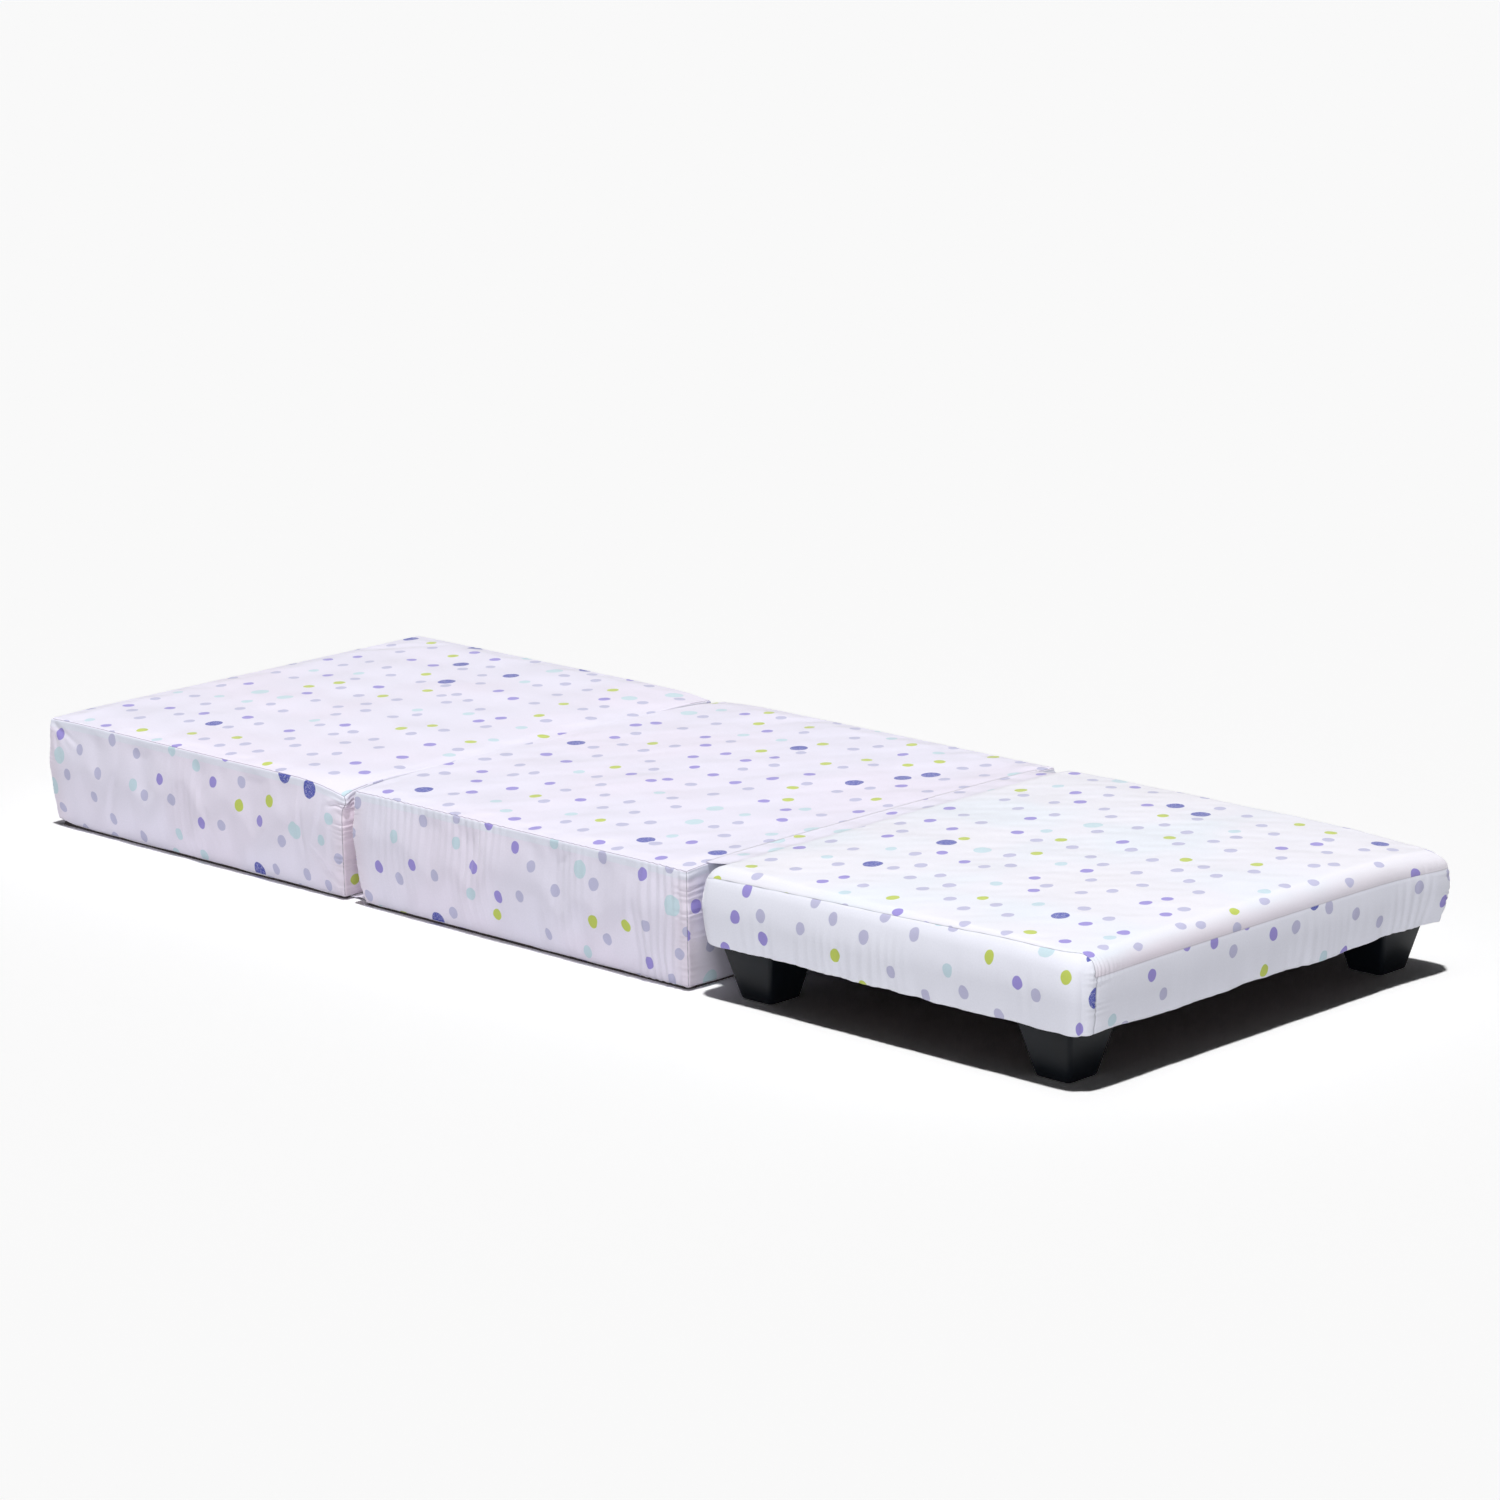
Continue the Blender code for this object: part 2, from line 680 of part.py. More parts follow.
def build_bed():
    add_pad()
    add_frame()
    add_legs()
    flap_middle, _ = add_upper_flaps()
    lower_head, lower_middle = add_lower_flaps()
    base_hinge = (BASE_HINGE_X, 0, BASE_HINGE_Z)
    head_hinge = (HEAD_HINGE_X, 0, HEAD_HINGE_Z)
    middle_pivot = add_pivot("middle_pivot", base_hinge)
    head_pivot = add_pivot("head_pivot", head_hinge)
    hang(head_pivot, middle_pivot, base_hinge)
    for piece in [*add_cushion("middle", MIDDLE_X), flap_middle, lower_middle]:
        hang(piece, middle_pivot, base_hinge)
    for piece in [*add_cushion("head", HEAD_X), lower_head]:
        hang(piece, head_pivot, head_hinge)


build_bed()
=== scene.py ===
# %% [markdown]
# # A pouf bed in printed cotton
#
# The bed is three sections in a row: a padded base on four legs and two box cushions. Cloth hinges join
# them, so the bed folds into a pouf. This script dresses the engineering model of the bed for a
# photograph. It never moves that model: it adds finished surfaces in the same places.

# %% Load the engineering model
import json
from math import cos, pi, radians, sin

import bpy
import numpy as np
from mathutils import Matrix, Vector


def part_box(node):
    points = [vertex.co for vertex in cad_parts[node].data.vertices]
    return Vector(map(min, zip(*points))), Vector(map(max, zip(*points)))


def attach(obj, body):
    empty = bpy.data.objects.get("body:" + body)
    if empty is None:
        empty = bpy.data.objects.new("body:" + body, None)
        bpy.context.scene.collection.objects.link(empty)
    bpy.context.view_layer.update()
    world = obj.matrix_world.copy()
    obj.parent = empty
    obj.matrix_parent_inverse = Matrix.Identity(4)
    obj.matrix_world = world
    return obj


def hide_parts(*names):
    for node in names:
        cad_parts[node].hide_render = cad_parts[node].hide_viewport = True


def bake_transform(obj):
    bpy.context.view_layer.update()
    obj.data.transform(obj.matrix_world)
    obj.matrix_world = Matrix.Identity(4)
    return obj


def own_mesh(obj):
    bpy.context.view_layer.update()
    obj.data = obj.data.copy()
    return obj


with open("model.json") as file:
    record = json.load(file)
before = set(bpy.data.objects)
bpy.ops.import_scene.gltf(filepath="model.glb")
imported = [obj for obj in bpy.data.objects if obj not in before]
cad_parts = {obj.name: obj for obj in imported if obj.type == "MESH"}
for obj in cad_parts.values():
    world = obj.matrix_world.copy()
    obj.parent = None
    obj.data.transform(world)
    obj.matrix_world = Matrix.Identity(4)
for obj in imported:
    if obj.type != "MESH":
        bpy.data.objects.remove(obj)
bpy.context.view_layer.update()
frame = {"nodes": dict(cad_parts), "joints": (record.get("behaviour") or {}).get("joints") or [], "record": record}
MM = 0.001

# %% [markdown]
# The whole bed follows a few sizes. A section is 620 mm long and 700 mm wide. Its place along the bed is
# the middle of the part of the model that it dresses.

# %% Sizes of the sections
SECTION_LENGTH = 620 * MM
SECTION_WIDTH = 700 * MM


def middle_x(node):
    """Middle of a model node's box along the bed."""
    low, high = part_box(node)
    return (low.x + high.x) / 2


HEAD_X = middle_x("head_underside")
MIDDLE_X = middle_x("middle_underside")
BASE_X = middle_x("deck_board")
CUSHION_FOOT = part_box("middle_underside")[1].z + 0.3 * MM
CUSHION_TOP = 157 * MM
PAD_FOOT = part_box("pad_cover")[0].z
PAD_TOP = 165 * MM
LOWER_HINGE = next(j for j in frame["joints"] if j["name"] == "head_fold")["pos_m"]
print("section middles along the bed:", round(HEAD_X, 4), round(MIDDLE_X, 4), round(BASE_X, 4))


def section_box(middle, foot, top):
    """Lowest and highest corners of a section's block."""
    half_x, half_y = SECTION_LENGTH / 2, SECTION_WIDTH / 2
    return np.array([middle - half_x, -half_y, foot]), np.array([middle + half_x, half_y, top])


# %% [markdown]
# ## Camera
#
# The picture looks along the bed from its foot end with a long lens, so the sides hardly converge. The
# angles come from fitting the corners of the sections and the legs. The camera is turned by its own
# three directions, because that says directly which way is back, right and up.

# %% Camera
# Angles in degrees, the lens in mm.
CAMERA_AZIMUTH = 44.40
CAMERA_ELEVATION = 13.71
CAMERA_ROLL = -0.85
CAMERA_DISTANCE = 7.014
CAMERA_LENS = 120
LOOK_AT = Vector((-0.2084, 0.2970, 0.1077))


def direction(azimuth, elevation):
    """Unit vector at two angles in degrees. Azimuth 0 is the front, 90 the foot end of the bed."""
    a, e = radians(azimuth), radians(elevation)
    return Vector((sin(a) * cos(e), -cos(a) * cos(e), sin(e)))


def camera_matrix(back):
    """Matrix of the camera, from the way back to it: aimed, then rolled about its view line."""
    right = (-back).cross(Vector((0, 0, 1))).normalized()
    up = right.cross(-back)
    roll = radians(CAMERA_ROLL)
    side = cos(roll) * right + sin(roll) * up
    top = cos(roll) * up - sin(roll) * right
    matrix = Matrix((side, top, back)).transposed().to_4x4()
    matrix.translation = LOOK_AT + back * CAMERA_DISTANCE
    return matrix


camera = bpy.data.objects.new("camera", bpy.data.cameras.new("camera"))
camera.data.lens = CAMERA_LENS
camera.data.sensor_width = 36
camera.data.clip_end = 100
camera.matrix_world = camera_matrix(direction(CAMERA_AZIMUTH, CAMERA_ELEVATION))
bpy.context.scene.collection.objects.link(camera)
bpy.context.scene.camera = camera
bpy.context.scene.view_settings.view_transform = "Standard"

# %% [markdown]
# ## Colour and material helpers
#
# Colours are written as the hex values that a painter would pick from a screen. A shader wants linear
# light, so one function turns one into the other. A second one adds a node, sets its values and joins its
# inputs, so that each material reads as a list of steps.


# %% Colour and node helpers
def linear(code):
    """Linear RGBA from an sRGB hex code: small values over 12.92, the rest ((c + 0.055) / 1.055) ^ 2.4."""
    channels = np.array([int(code[i : i + 2], 16) for i in (1, 3, 5)]) / 255
    straight = channels / 12.92
    curved = ((channels + 0.055) / 1.055) ** 2.4
    return (*np.where(channels <= 0.04045, straight, curved), 1.0)


def set_inputs(node, **inputs):
    """Set a node's inputs by name or by number: each is a value or another node's output."""
    for name, value in inputs.items():
        key = int(name[1:]) if name[1:].isdigit() else name.replace("_", " ")
        if isinstance(value, bpy.types.NodeSocket):
            node.id_data.links.new(value, node.inputs[key])
        else:
            node.inputs[key].default_value = value


def add(tree, kind, settings=None, **inputs):
    """Add a node with its settings and inputs."""
    node = tree.nodes.new("ShaderNode" + kind)
    for name, value in (settings or {}).items():
        setattr(node, name, value)
    set_inputs(node, **inputs)
    return node


def new_material(name):
    """An empty material, its node tree and its Principled shader joined to the output."""
    material = bpy.data.materials.new(name)
    material.use_nodes = True
    return material, material.node_tree, material.node_tree.nodes["Principled BSDF"]


def object_place(tree):
    """The place of a point on its own object, in metres."""
    return add(tree, "TexCoord").outputs["Object"]


def attribute(tree, name):
    """A value that the mesh keeps on its points."""
    return add(tree, "Attribute", {"attribute_name": name}).outputs["Fac"]


def noise(tree, place, scale, detail=2.0, flat=False, output="Fac", **more):
    """A noise texture, flat on the cloth or solid in space."""
    settings = {"noise_dimensions": "2D" if flat else "3D"}
    node = add(tree, "TexNoise", settings, Vector=place, Scale=scale, Detail=detail, **more)
    return node.outputs[output]


def bump(tree, strength, distance, height, **more):
    """The normal of a surface raised by a height."""
    return add(tree, "Bump", Strength=strength, Distance=distance, Height=height, **more).outputs[0]


def ramp(tree, factor, stops, interpolation="LINEAR"):
    """A colour ramp with (place, hex colour or grey value) stops."""
    node = add(tree, "ValToRGB", i0=factor)
    elements = node.color_ramp.elements
    node.color_ramp.interpolation = interpolation
    while len(elements) < len(stops):
        elements.new(1.0)
    for element, (place, colour) in zip(elements, stops, strict=True):
        element.position = place
        element.color = linear(colour) if isinstance(colour, str) else (colour, colour, colour, 1.0)
    return node.outputs["Color"]


def cloudy(tree, place, scale, detail, first, second):
    """A soft drift between two colours or two grey values."""
    return ramp(tree, noise(tree, place, scale, detail), [(0.3, first), (0.7, second)])


def maths(tree, operation, first, second=0.0, third=0.0, clamp=False):
    """One sum on single values."""
    settings = {"operation": operation, "use_clamp": clamp}
    return add(tree, "Math", settings, i0=first, i1=second, i2=third).outputs[0]


def within(tree, distance, reach, edge):
    """1 up to a reach and 0 past it, changing over the width of an edge."""
    return maths(tree, "MULTIPLY_ADD", distance, -1 / edge, reach / edge + 0.5, clamp=True)


def vector_maths(tree, operation, first, second=(0, 0, 0), output="Vector"):
    """One sum on vectors."""
    return add(tree, "VectorMath", {"operation": operation}, i0=first, i1=second).outputs[output]


def turned(tree, vector, angle):
    """A flat vector turned by an angle."""
    return add(tree, "VectorRotate", {"rotation_type": "Z_AXIS"}, Vector=vector, Angle=angle).outputs[0]


def mix(tree, factor, first, second, kind="MIX"):
    """Mix two colours."""
    settings = {"data_type": "RGBA", "blend_type": kind}
    return add(tree, "Mix", settings, i0=factor, i6=first, i7=second).outputs[2]


# %% [markdown]
# ## Printed cotton
#
# The covers are plain-weave cotton, printed with small dots in five inks. Each dot is a slightly uneven
# upright oval. A Voronoi texture scatters one point in each cell of a loose grid and gives each a random
# colour value: the distance from that point makes the oval, and the random value picks its ink. The cloth
# map holds real metres on the flat cloth, so each panel cuts the print at its seams as a tailor would.
# The periwinkle ink is printed as a scribble, so white flecks show through it.

# %% Printed cotton
DOT_SPACING = 52 * MM
DOT_SCATTER = 0.62
DOT_LEAN = 0.7
SMALL_DOT = 8.2 * MM
LARGE_DOT = 12.5 * MM
# A dot's own share of that size: the least, and how much more at most.
DOT_LEAST = 0.92
DOT_GROWTH = 0.12
DOT_EDGE = 0.35 * MM
DOT_WOBBLE = 2.6 * MM
WOBBLE_LENGTH = 14 * MM
PRINT_TURN = 0.42
SCRIBBLE = 1.6 * MM
SCRIBBLE_BARE = 0.6
# The real threads lie about 0.4 mm apart, too fine to show, so they are drawn three times as coarse.
THREAD = 1.2 * MM
# A wave texture of scale 1 repeats after this many metres.
WAVE_RUN = 2 * pi / 20
# The turned-in edges of the panels show through as a cooler band below the top seams.
ALLOWANCE_START = 2 * MM
ALLOWANCE_END = 12 * MM
ALLOWANCE_TINT = "#E3EAF5"
# A pinkish painted shade, laid where the cushions face each other, by their upright corners and over the base's
# free end.
PAINTED_SHADE_TINT = "#EADDE9"
SEAM_LINE = 0.765 * MM
SEAM_SHADE = "#5E596C"
# Each ink: the random value from which it is picked, its colour and the radius of its dots.
INKS = (
    (0.00, "#C2C1DD", SMALL_DOT),
    (0.50, "#9F94D9", SMALL_DOT),
    (0.70, "#C3D164", SMALL_DOT),
    (0.82, "#C8DDE7", SMALL_DOT),
    (0.92, "#CADFE8", LARGE_DOT),
    (0.952, "#525AB0", LARGE_DOT),
)


def dot_print(tree, cloth):
    """The print: its colour, and how far the ink covers the cloth, at a point of the cloth map."""
    place = turned(tree, cloth, PRINT_TURN)
    drift = noise(tree, place, 1 / WOBBLE_LENGTH, 1.0, flat=True, output="Color")
    centred = vector_maths(tree, "SUBTRACT", drift, (0.5, 0.5, 0.5))
    wobble = vector_maths(tree, "MULTIPLY", centred, (DOT_WOBBLE, DOT_WOBBLE, 0))
    uneven = vector_maths(tree, "ADD", place, wobble)
    settings = {"voronoi_dimensions": "2D", "feature": "F1"}
    cells = add(tree, "TexVoronoi", settings, Vector=uneven, Scale=1 / DOT_SPACING, Randomness=DOT_SCATTER)
    offset = vector_maths(tree, "SUBTRACT", uneven, cells.outputs["Position"])
    pick, turn, growth = add(tree, "SeparateColor", i0=cells.outputs["Color"]).outputs
    lean = maths(tree, "MULTIPLY_ADD", turn, DOT_LEAN, -DOT_LEAN / 2 - PRINT_TURN)
    oval = vector_maths(tree, "MULTIPLY", turned(tree, offset, lean), (1.05, 0.95, 0))
    reach = vector_maths(tree, "LENGTH", oval, output="Value")
    ink = ramp(tree, pick, [(start, colour) for start, colour, _ in INKS], "CONSTANT")
    share = ramp(tree, pick, [(start, radius / LARGE_DOT) for start, _, radius in INKS], "CONSTANT")
    size = maths(tree, "MULTIPLY_ADD", growth, DOT_GROWTH, DOT_LEAST)
    radius = maths(tree, "MULTIPLY", maths(tree, "MULTIPLY", share, LARGE_DOT), size)
    inside = maths(tree, "SUBTRACT", radius, reach)
    cover = maths(tree, "MULTIPLY_ADD", inside, 1 / (2 * DOT_EDGE), 0.5, clamp=True)
    fleck = noise(tree, uneven, 1 / SCRIBBLE, flat=True, Distortion=1.4)
    gaps = maths(tree, "MULTIPLY_ADD", fleck, 9.0, -5.0, clamp=True)
    scribbled = maths(tree, "GREATER_THAN", pick, INKS[-1][0])
    bare = maths(tree, "MULTIPLY", maths(tree, "MULTIPLY", gaps, scribbled), SCRIBBLE_BARE)
    return ink, maths(tree, "MULTIPLY", cover, maths(tree, "SUBTRACT", 1.0, bare))


def weave_height(tree, cloth):
    """Threads over and under: one sine wave along each way of the cloth, added."""
    inputs = {"Vector": cloth, "Scale": WAVE_RUN / THREAD, "Distortion": 0.6, "Detail": 1.0}
    threads = [add(tree, "TexWave", {"bands_direction": way}, **inputs).outputs["Fac"] for way in ("X", "Y")]
    return maths(tree, "ADD", *threads)


def printed_cotton(name, ground, warm, cool, sides=None):
    """Plain-weave cotton with a dot print. Warm and cool tints drift slowly over the ground colour.

    With a colour for the sides, they have a cloth map of their own, used where the panel value is negative.
    """
    material, tree, shader = new_material(name)
    cloth = add(tree, "UVMap", {"uv_map": "cloth"}).outputs[0]
    place = object_place(tree)
    tint = ramp(tree, noise(tree, place, 5.0), [(0.36, warm), (0.5, ground), (0.64, cool)])
    if sides:
        on_side = maths(tree, "LESS_THAN", attribute(tree, "panel"), 0.0)
        other = add(tree, "UVMap", {"uv_map": "cloth_side"}).outputs[0]
        cloth = add(tree, "Mix", {"data_type": "VECTOR"}, i0=on_side, i4=cloth, i5=other).outputs[1]
        # On the sides their own colour takes the place of the tints; for the base it is a lighter copy of the
        # ground, painted light.
        tint = mix(tree, on_side, tint, linear(sides))
    under = attribute(tree, "under")
    past_seam = maths(tree, "GREATER_THAN", under, ALLOWANCE_START)
    allowance = maths(tree, "MULTIPLY", within(tree, under, ALLOWANCE_END, 1.5 * MM), past_seam)
    tint = mix(tree, maths(tree, "MULTIPLY", allowance, 0.6), tint, linear(ALLOWANCE_TINT))
    # Painted shade: a pinkish tint, by the value that the mesh keeps for it.
    tint = mix(tree, attribute(tree, "painted_pink_shade"), tint, linear(PAINTED_SHADE_TINT))
    ink, cover = dot_print(tree, cloth)
    slub = noise(tree, cloth, 1 / (2.5 * MM), 3.0, flat=True)
    shade = maths(tree, "MULTIPLY_ADD", slub, 0.07, 0.965)
    threaded = mix(tree, 1.0, mix(tree, cover, tint, ink), shade, "MULTIPLY")
    line = within(tree, attribute(tree, "seam"), SEAM_LINE, 0.9 * MM)
    height = maths(tree, "ADD", weave_height(tree, cloth), maths(tree, "MULTIPLY", slub, 1.5))
    fine = bump(tree, 0.16, 0.10 * MM, height)
    set_inputs(
        shader,
        Base_Color=mix(tree, maths(tree, "MULTIPLY", line, 0.62), threaded, linear(SEAM_SHADE)),
        Normal=bump(tree, 0.30, 1.6 * MM, noise(tree, place, 32.0), Normal=fine),
        Roughness=0.8,
        IOR=1.5,
        Specular_IOR_Level=0.2,
        Sheen_Weight=1.0,
        Sheen_Roughness=0.3,
    )
    return material


CUSHION_COTTON = printed_cotton("cotton, printed, cushions", "#EAE6F5", "#EBE5F4", "#E9E6F5")
# The base's sides take a lighter, bluer copy of its ground colour: painted light on its shaded sides.
PAD_COTTON = printed_cotton("cotton, printed, base", "#ECEBF4", "#EDEBF3", "#E8ECF5", sides="#EEEFFA")

# %% [markdown]
# ## Blocks of grid lines
#
# A boxed cushion is sewn from flat panels, and each panel bends on its own. Its surface is worked out as
# the outside of a block of grid lines, close together at the seams, where cloth gathers, and further
# apart where it lies flat. Every point keeps its place on the flat block, and the shape comes from
# formulas on those places, whole arrays at a time.

# %% Grid lines and blocks
# Points closer than this to a panel's plane are on it.
ON_IT = 1e-6
# Each panel: its axis, which end of it, which way its faces run, the two axes that it spans, and where in
# the print it is cut.
PANELS = {
    "top": (2, -1, 1, [0, 1], (0.0, 0.0)),
    "bottom": (2, 0, -1, [0, 1], (3.1, 0.4)),
    "front": (1, 0, 1, [0, 2], (0.37, 1.21)),
    "back": (1, -1, -1, [0, 2], (5.2, 2.3)),
    "right": (0, -1, 1, [1, 2], (1.13, 4.1)),
    "left": (0, 0, -1, [1, 2], (2.71, 5.3)),
}


def graded(low, high, fine, coarse, zone, hold=0.0):
    """Grid lines from low to high, fine apart for hold at both ends and coarse apart from zone on inwards.

    The number of lines per metre is summed along the length and read back at whole counts.
    """
    x = np.linspace(low, high, 4001)
    near = np.clip((np.minimum(x - low, high - x) - hold) / zone, 0, 1)
    density = 1 / (fine + (coarse - fine) * near)
    count = np.concatenate(([0], np.cumsum((density[1:] + density[:-1]) / 2 * np.diff(x))))
    return np.interp(np.linspace(0, count[-1], int(round(count[-1])) + 1), count, x)


def grid_faces(number):
    """Four-cornered faces between the neighbours in a grid of point numbers."""
    corners = (number[:-1, :-1], number[1:, :-1], number[1:, 1:], number[:-1, 1:])
    return np.stack([corner.ravel() for corner in corners], axis=1)


def outside_of(shape, names):
    """Which points of a grid lie on the named panels."""
    outside = np.zeros(shape, bool)
    for name in names:
        axis, end, *_ = PANELS[name]
        np.moveaxis(outside, axis, 0)[end] = True
    return outside


def block(lines, names):
    """Points on the named panels of a block of grid lines, and each panel's faces, run round outwards.

    Points on a shared edge are shared.
    """
    grids = np.meshgrid(*lines, indexing="ij")
    outside = outside_of(grids[0].shape, names)
    number = np.full(outside.shape, -1)
    number[outside] = np.arange(outside.sum())
    faces = {}
    for name in names:
        axis, end, turn, *_ = PANELS[name]
        faces[name] = grid_faces(np.moveaxis(number, axis, 0)[end])[:, ::turn]
    return np.stack([grid[outside] for grid in grids], axis=1), faces


def mesh_from(name, points, faces, maps=None, values=None, material=None):
    """A smooth object from points and faces, with UV maps in face order and values on its points."""
    mesh = bpy.data.meshes.new(name)
    mesh.from_pydata(points, [], faces)
    for map_name, corners in (maps or {}).items():
        layer = mesh.uv_layers.new(name=map_name)
        layer.data.foreach_set("uv", np.asarray(corners, np.float32).ravel())
    for value_name, value in (values or {}).items():
        kept = mesh.attributes.new(value_name, "FLOAT", "POINT")
        kept.data.foreach_set("value", np.asarray(value, np.float32))
    mesh.shade_smooth()
    if material:
        mesh.materials.append(material)
    piece = bpy.data.objects.new(name, mesh)
    bpy.context.scene.collection.objects.link(piece)
    return piece


def thicken(piece, thickness, offset):
    """Give a sheet a thickness: inwards at offset -1, to both sides at 0."""
    solid = piece.modifiers.new("thickness", "SOLIDIFY")
    solid.thickness = thickness
    solid.offset = offset


def loft(name, rings, material):
    """A closed form through rings of points: sides between neighbours, and a fan at each end."""
    rings = np.array(rings)
    count, around = rings.shape[:2]
    ends = [rings[0].mean(axis=0), rings[-1].mean(axis=0)]
    points = np.concatenate([rings.reshape(-1, 3), ends])
    number = np.arange(count * around).reshape(count, around)
    ahead = np.roll(number, -1, axis=1)
    sides = np.stack([number[:-1], ahead[:-1], ahead[1:], number[1:]], axis=-1).reshape(-1, 4)
    first = [(a, b, count * around) for a, b in zip(ahead[0], number[0], strict=True)]
    last = [(a, b, count * around + 1) for a, b in zip(number[-1], ahead[-1], strict=True)]
    return mesh_from(name, points, sides.tolist() + first + last, material=material)


def normals_of(points, quads):
    """Unit normals at points: the cross products of each face's diagonals, summed at its corners."""
    across = points[quads[:, 2]] - points[quads[:, 0]]
    along = points[quads[:, 3]] - points[quads[:, 1]]
    crossed = np.cross(across, along)
    total = np.zeros_like(points)
    for corner in range(4):
        np.add.at(total, quads[:, corner], crossed)
    return total / np.maximum(np.linalg.norm(total, axis=1, keepdims=True), 1e-12)


def bell(distance, reach, power=2):
    """1 at no distance, fading out over a reach: exp(-(distance / reach) ^ power)."""
    return np.exp(-((distance / reach) ** power))


def eased(share):
    """A share from 0 to 1 that starts and stops gently: 3 s^2 - 2 s^3."""
    return share**2 * (3 - 2 * share)


def waves(places, wavelength, seed, count=7):
    """Smooth unevenness between about -1 and 1: sine waves in random directions, added."""
    draw = np.random.default_rng(seed)
    total = 0
    for _ in range(count):
        way = draw.normal(size=places.shape[1])
        way *= draw.uniform(0.7, 1.4) * 2 * pi / (wavelength * np.linalg.norm(way))
        total = total + np.sin(places @ way + draw.uniform(0, 2 * pi))
    return total / count**0.5 / 1.2


def rounded(points, low, high, radii):
    """Round a block's edges but not its foot: pull each point to a smaller block, then out on an oval."""
    inner_low = low + radii
    inner_low[2] = low[2]
    core = np.clip(points, inner_low, high - radii)
    out = (points - core) / radii
    return core + out / np.maximum(np.linalg.norm(out, axis=1, keepdims=True), 1e-9) * radii


def outwards(share):
    """From a share of -1 to 1 across a block: the same at its two sides, and next to nothing between."""
    return np.sign(share) * np.abs(share) ** 8


def dips(flat, middle, half, corners):
    """How far pressed corners sink: each has its end, its side, its depth and its reach."""
    sunk = np.zeros(len(flat))
    for end, side, depth, reach in corners:
        corner = np.array([middle + end * half[0], side * half[1]])
        sunk += depth * bell(np.linalg.norm(flat[:, :2] - corner, axis=1), reach, 1.6)
    return sunk


# %% [markdown]
# ## Settling the covers
#
# A sewn cover is never cut quite to the size of its foam. Blender's Cloth finds how such a cover settles:
# a coarse copy of the block is cut a little too large, held along its seams and blown out by a soft
# pressure with no gravity. Only how far each point moved is kept, at most a few millimetres and fading out
# at the seams, and a smooth curve through four neighbouring grid lines carries it to the fine block.

# %% Settling the covers
SETTLE_LINE = 9 * MM
SETTLE_FRAMES = 20
SETTLE_CAP = 3 * MM
SETTLE_FADE = 26 * MM
# The foam holds the wide top panels flatter than the narrow sides.
SETTLE_RISE_SHARE = 0.5
CUT_TOO_LARGE = 0.004
CLOTH_SETTINGS = {
    "quality": 6,
    "mass": 0.2,
    "tension_stiffness": 20,
    "compression_stiffness": 20,
    "shear_stiffness": 8,
    "bending_stiffness": 6,
    "use_pressure": True,
    "uniform_pressure_force": 1.0,
    "shrink_min": -CUT_TOO_LARGE,
    "vertex_group_mass": "held",
}


def settled_moves(lines, low, high, shape):
    """How far Cloth moves each point of a closed coarse block, seams and foot held."""
    flat, faces = block(lines, PANELS)
    start = shape(flat)
    piece = mesh_from("cover being settled", start, np.concatenate(list(faces.values())))
    at_end = (np.abs(flat - low) < ON_IT) | (np.abs(flat - high) < ON_IT)
    held = (at_end.sum(axis=1) > 1) | (np.abs(flat[:, 2] - low[2]) < ON_IT)
    piece.vertex_groups.new(name="held").add(np.flatnonzero(held).tolist(), 1.0, "REPLACE")
    cloth = piece.modifiers.new("cover", "CLOTH")
    for name, value in CLOTH_SETTINGS.items():
        setattr(cloth.settings, name, value)
    cloth.settings.effector_weights.gravity = 0
    cloth.point_cache.frame_end = SETTLE_FRAMES
    for number in range(1, SETTLE_FRAMES + 1):
        bpy.context.scene.frame_set(number)
    solved = piece.evaluated_get(bpy.context.evaluated_depsgraph_get()).data
    ends = np.empty(3 * len(start), np.float32)
    solved.vertices.foreach_get("co", ends)
    bpy.context.scene.frame_set(1)
    bpy.data.objects.remove(piece)
    moves = ends.reshape(-1, 3) - start
    length = np.linalg.norm(moves, axis=1, keepdims=True)
    from_ends = np.sort(np.concatenate([flat - low, high - flat], axis=1), axis=1)
    fade = eased(np.clip(from_ends[:, 1:2] / SETTLE_FADE, 0, 1))
    moves[:, 2] *= SETTLE_RISE_SHARE
    return moves * np.minimum(1, SETTLE_CAP / np.maximum(length, 1e-9)) * fade


def line_weights(coarse, fine):
    """Catmull-Rom weights of even coarse grid lines at each fine line: a cubic through four neighbours."""
    place = (fine - coarse[0]) / (coarse[1] - coarse[0])
    cell = np.clip(np.floor(place).astype(int), 0, len(coarse) - 2)
    t = place - cell
    cubic = [-t + 2 * t**2 - t**3, 2 - 5 * t**2 + 3 * t**3, t + 4 * t**2 - 3 * t**3, t**3 - t**2]
    weights = np.zeros((len(fine), len(coarse)))
    for step, share in zip((-1, 0, 1, 2), cubic, strict=True):
        np.add.at(weights, (np.arange(len(fine)), np.clip(cell + step, 0, len(coarse) - 1)), share / 2)
    return weights


def settled(low, high, lines, names, shape):
    """How far settling moves the fine block's points."""
    coarse = [np.linspace(a, b, round((b - a) / SETTLE_LINE) + 1) for a, b in zip(low, high, strict=True)]
    moves = np.zeros((*[len(line) for line in coarse], 3))
    moves[outside_of(moves.shape[:3], PANELS)] = settled_moves(coarse, low, high, shape)
    for axis, line in enumerate(lines):
        weights = line_weights(coarse[axis], line)
        moves = np.moveaxis(np.tensordot(weights, moves, axes=(1, axis)), 0, axis)
    moves = moves[outside_of(moves.shape[:3], names)]
    print("settled by up to", round(1000 * np.linalg.norm(moves, axis=1).max(), 1), "mm")
    return moves


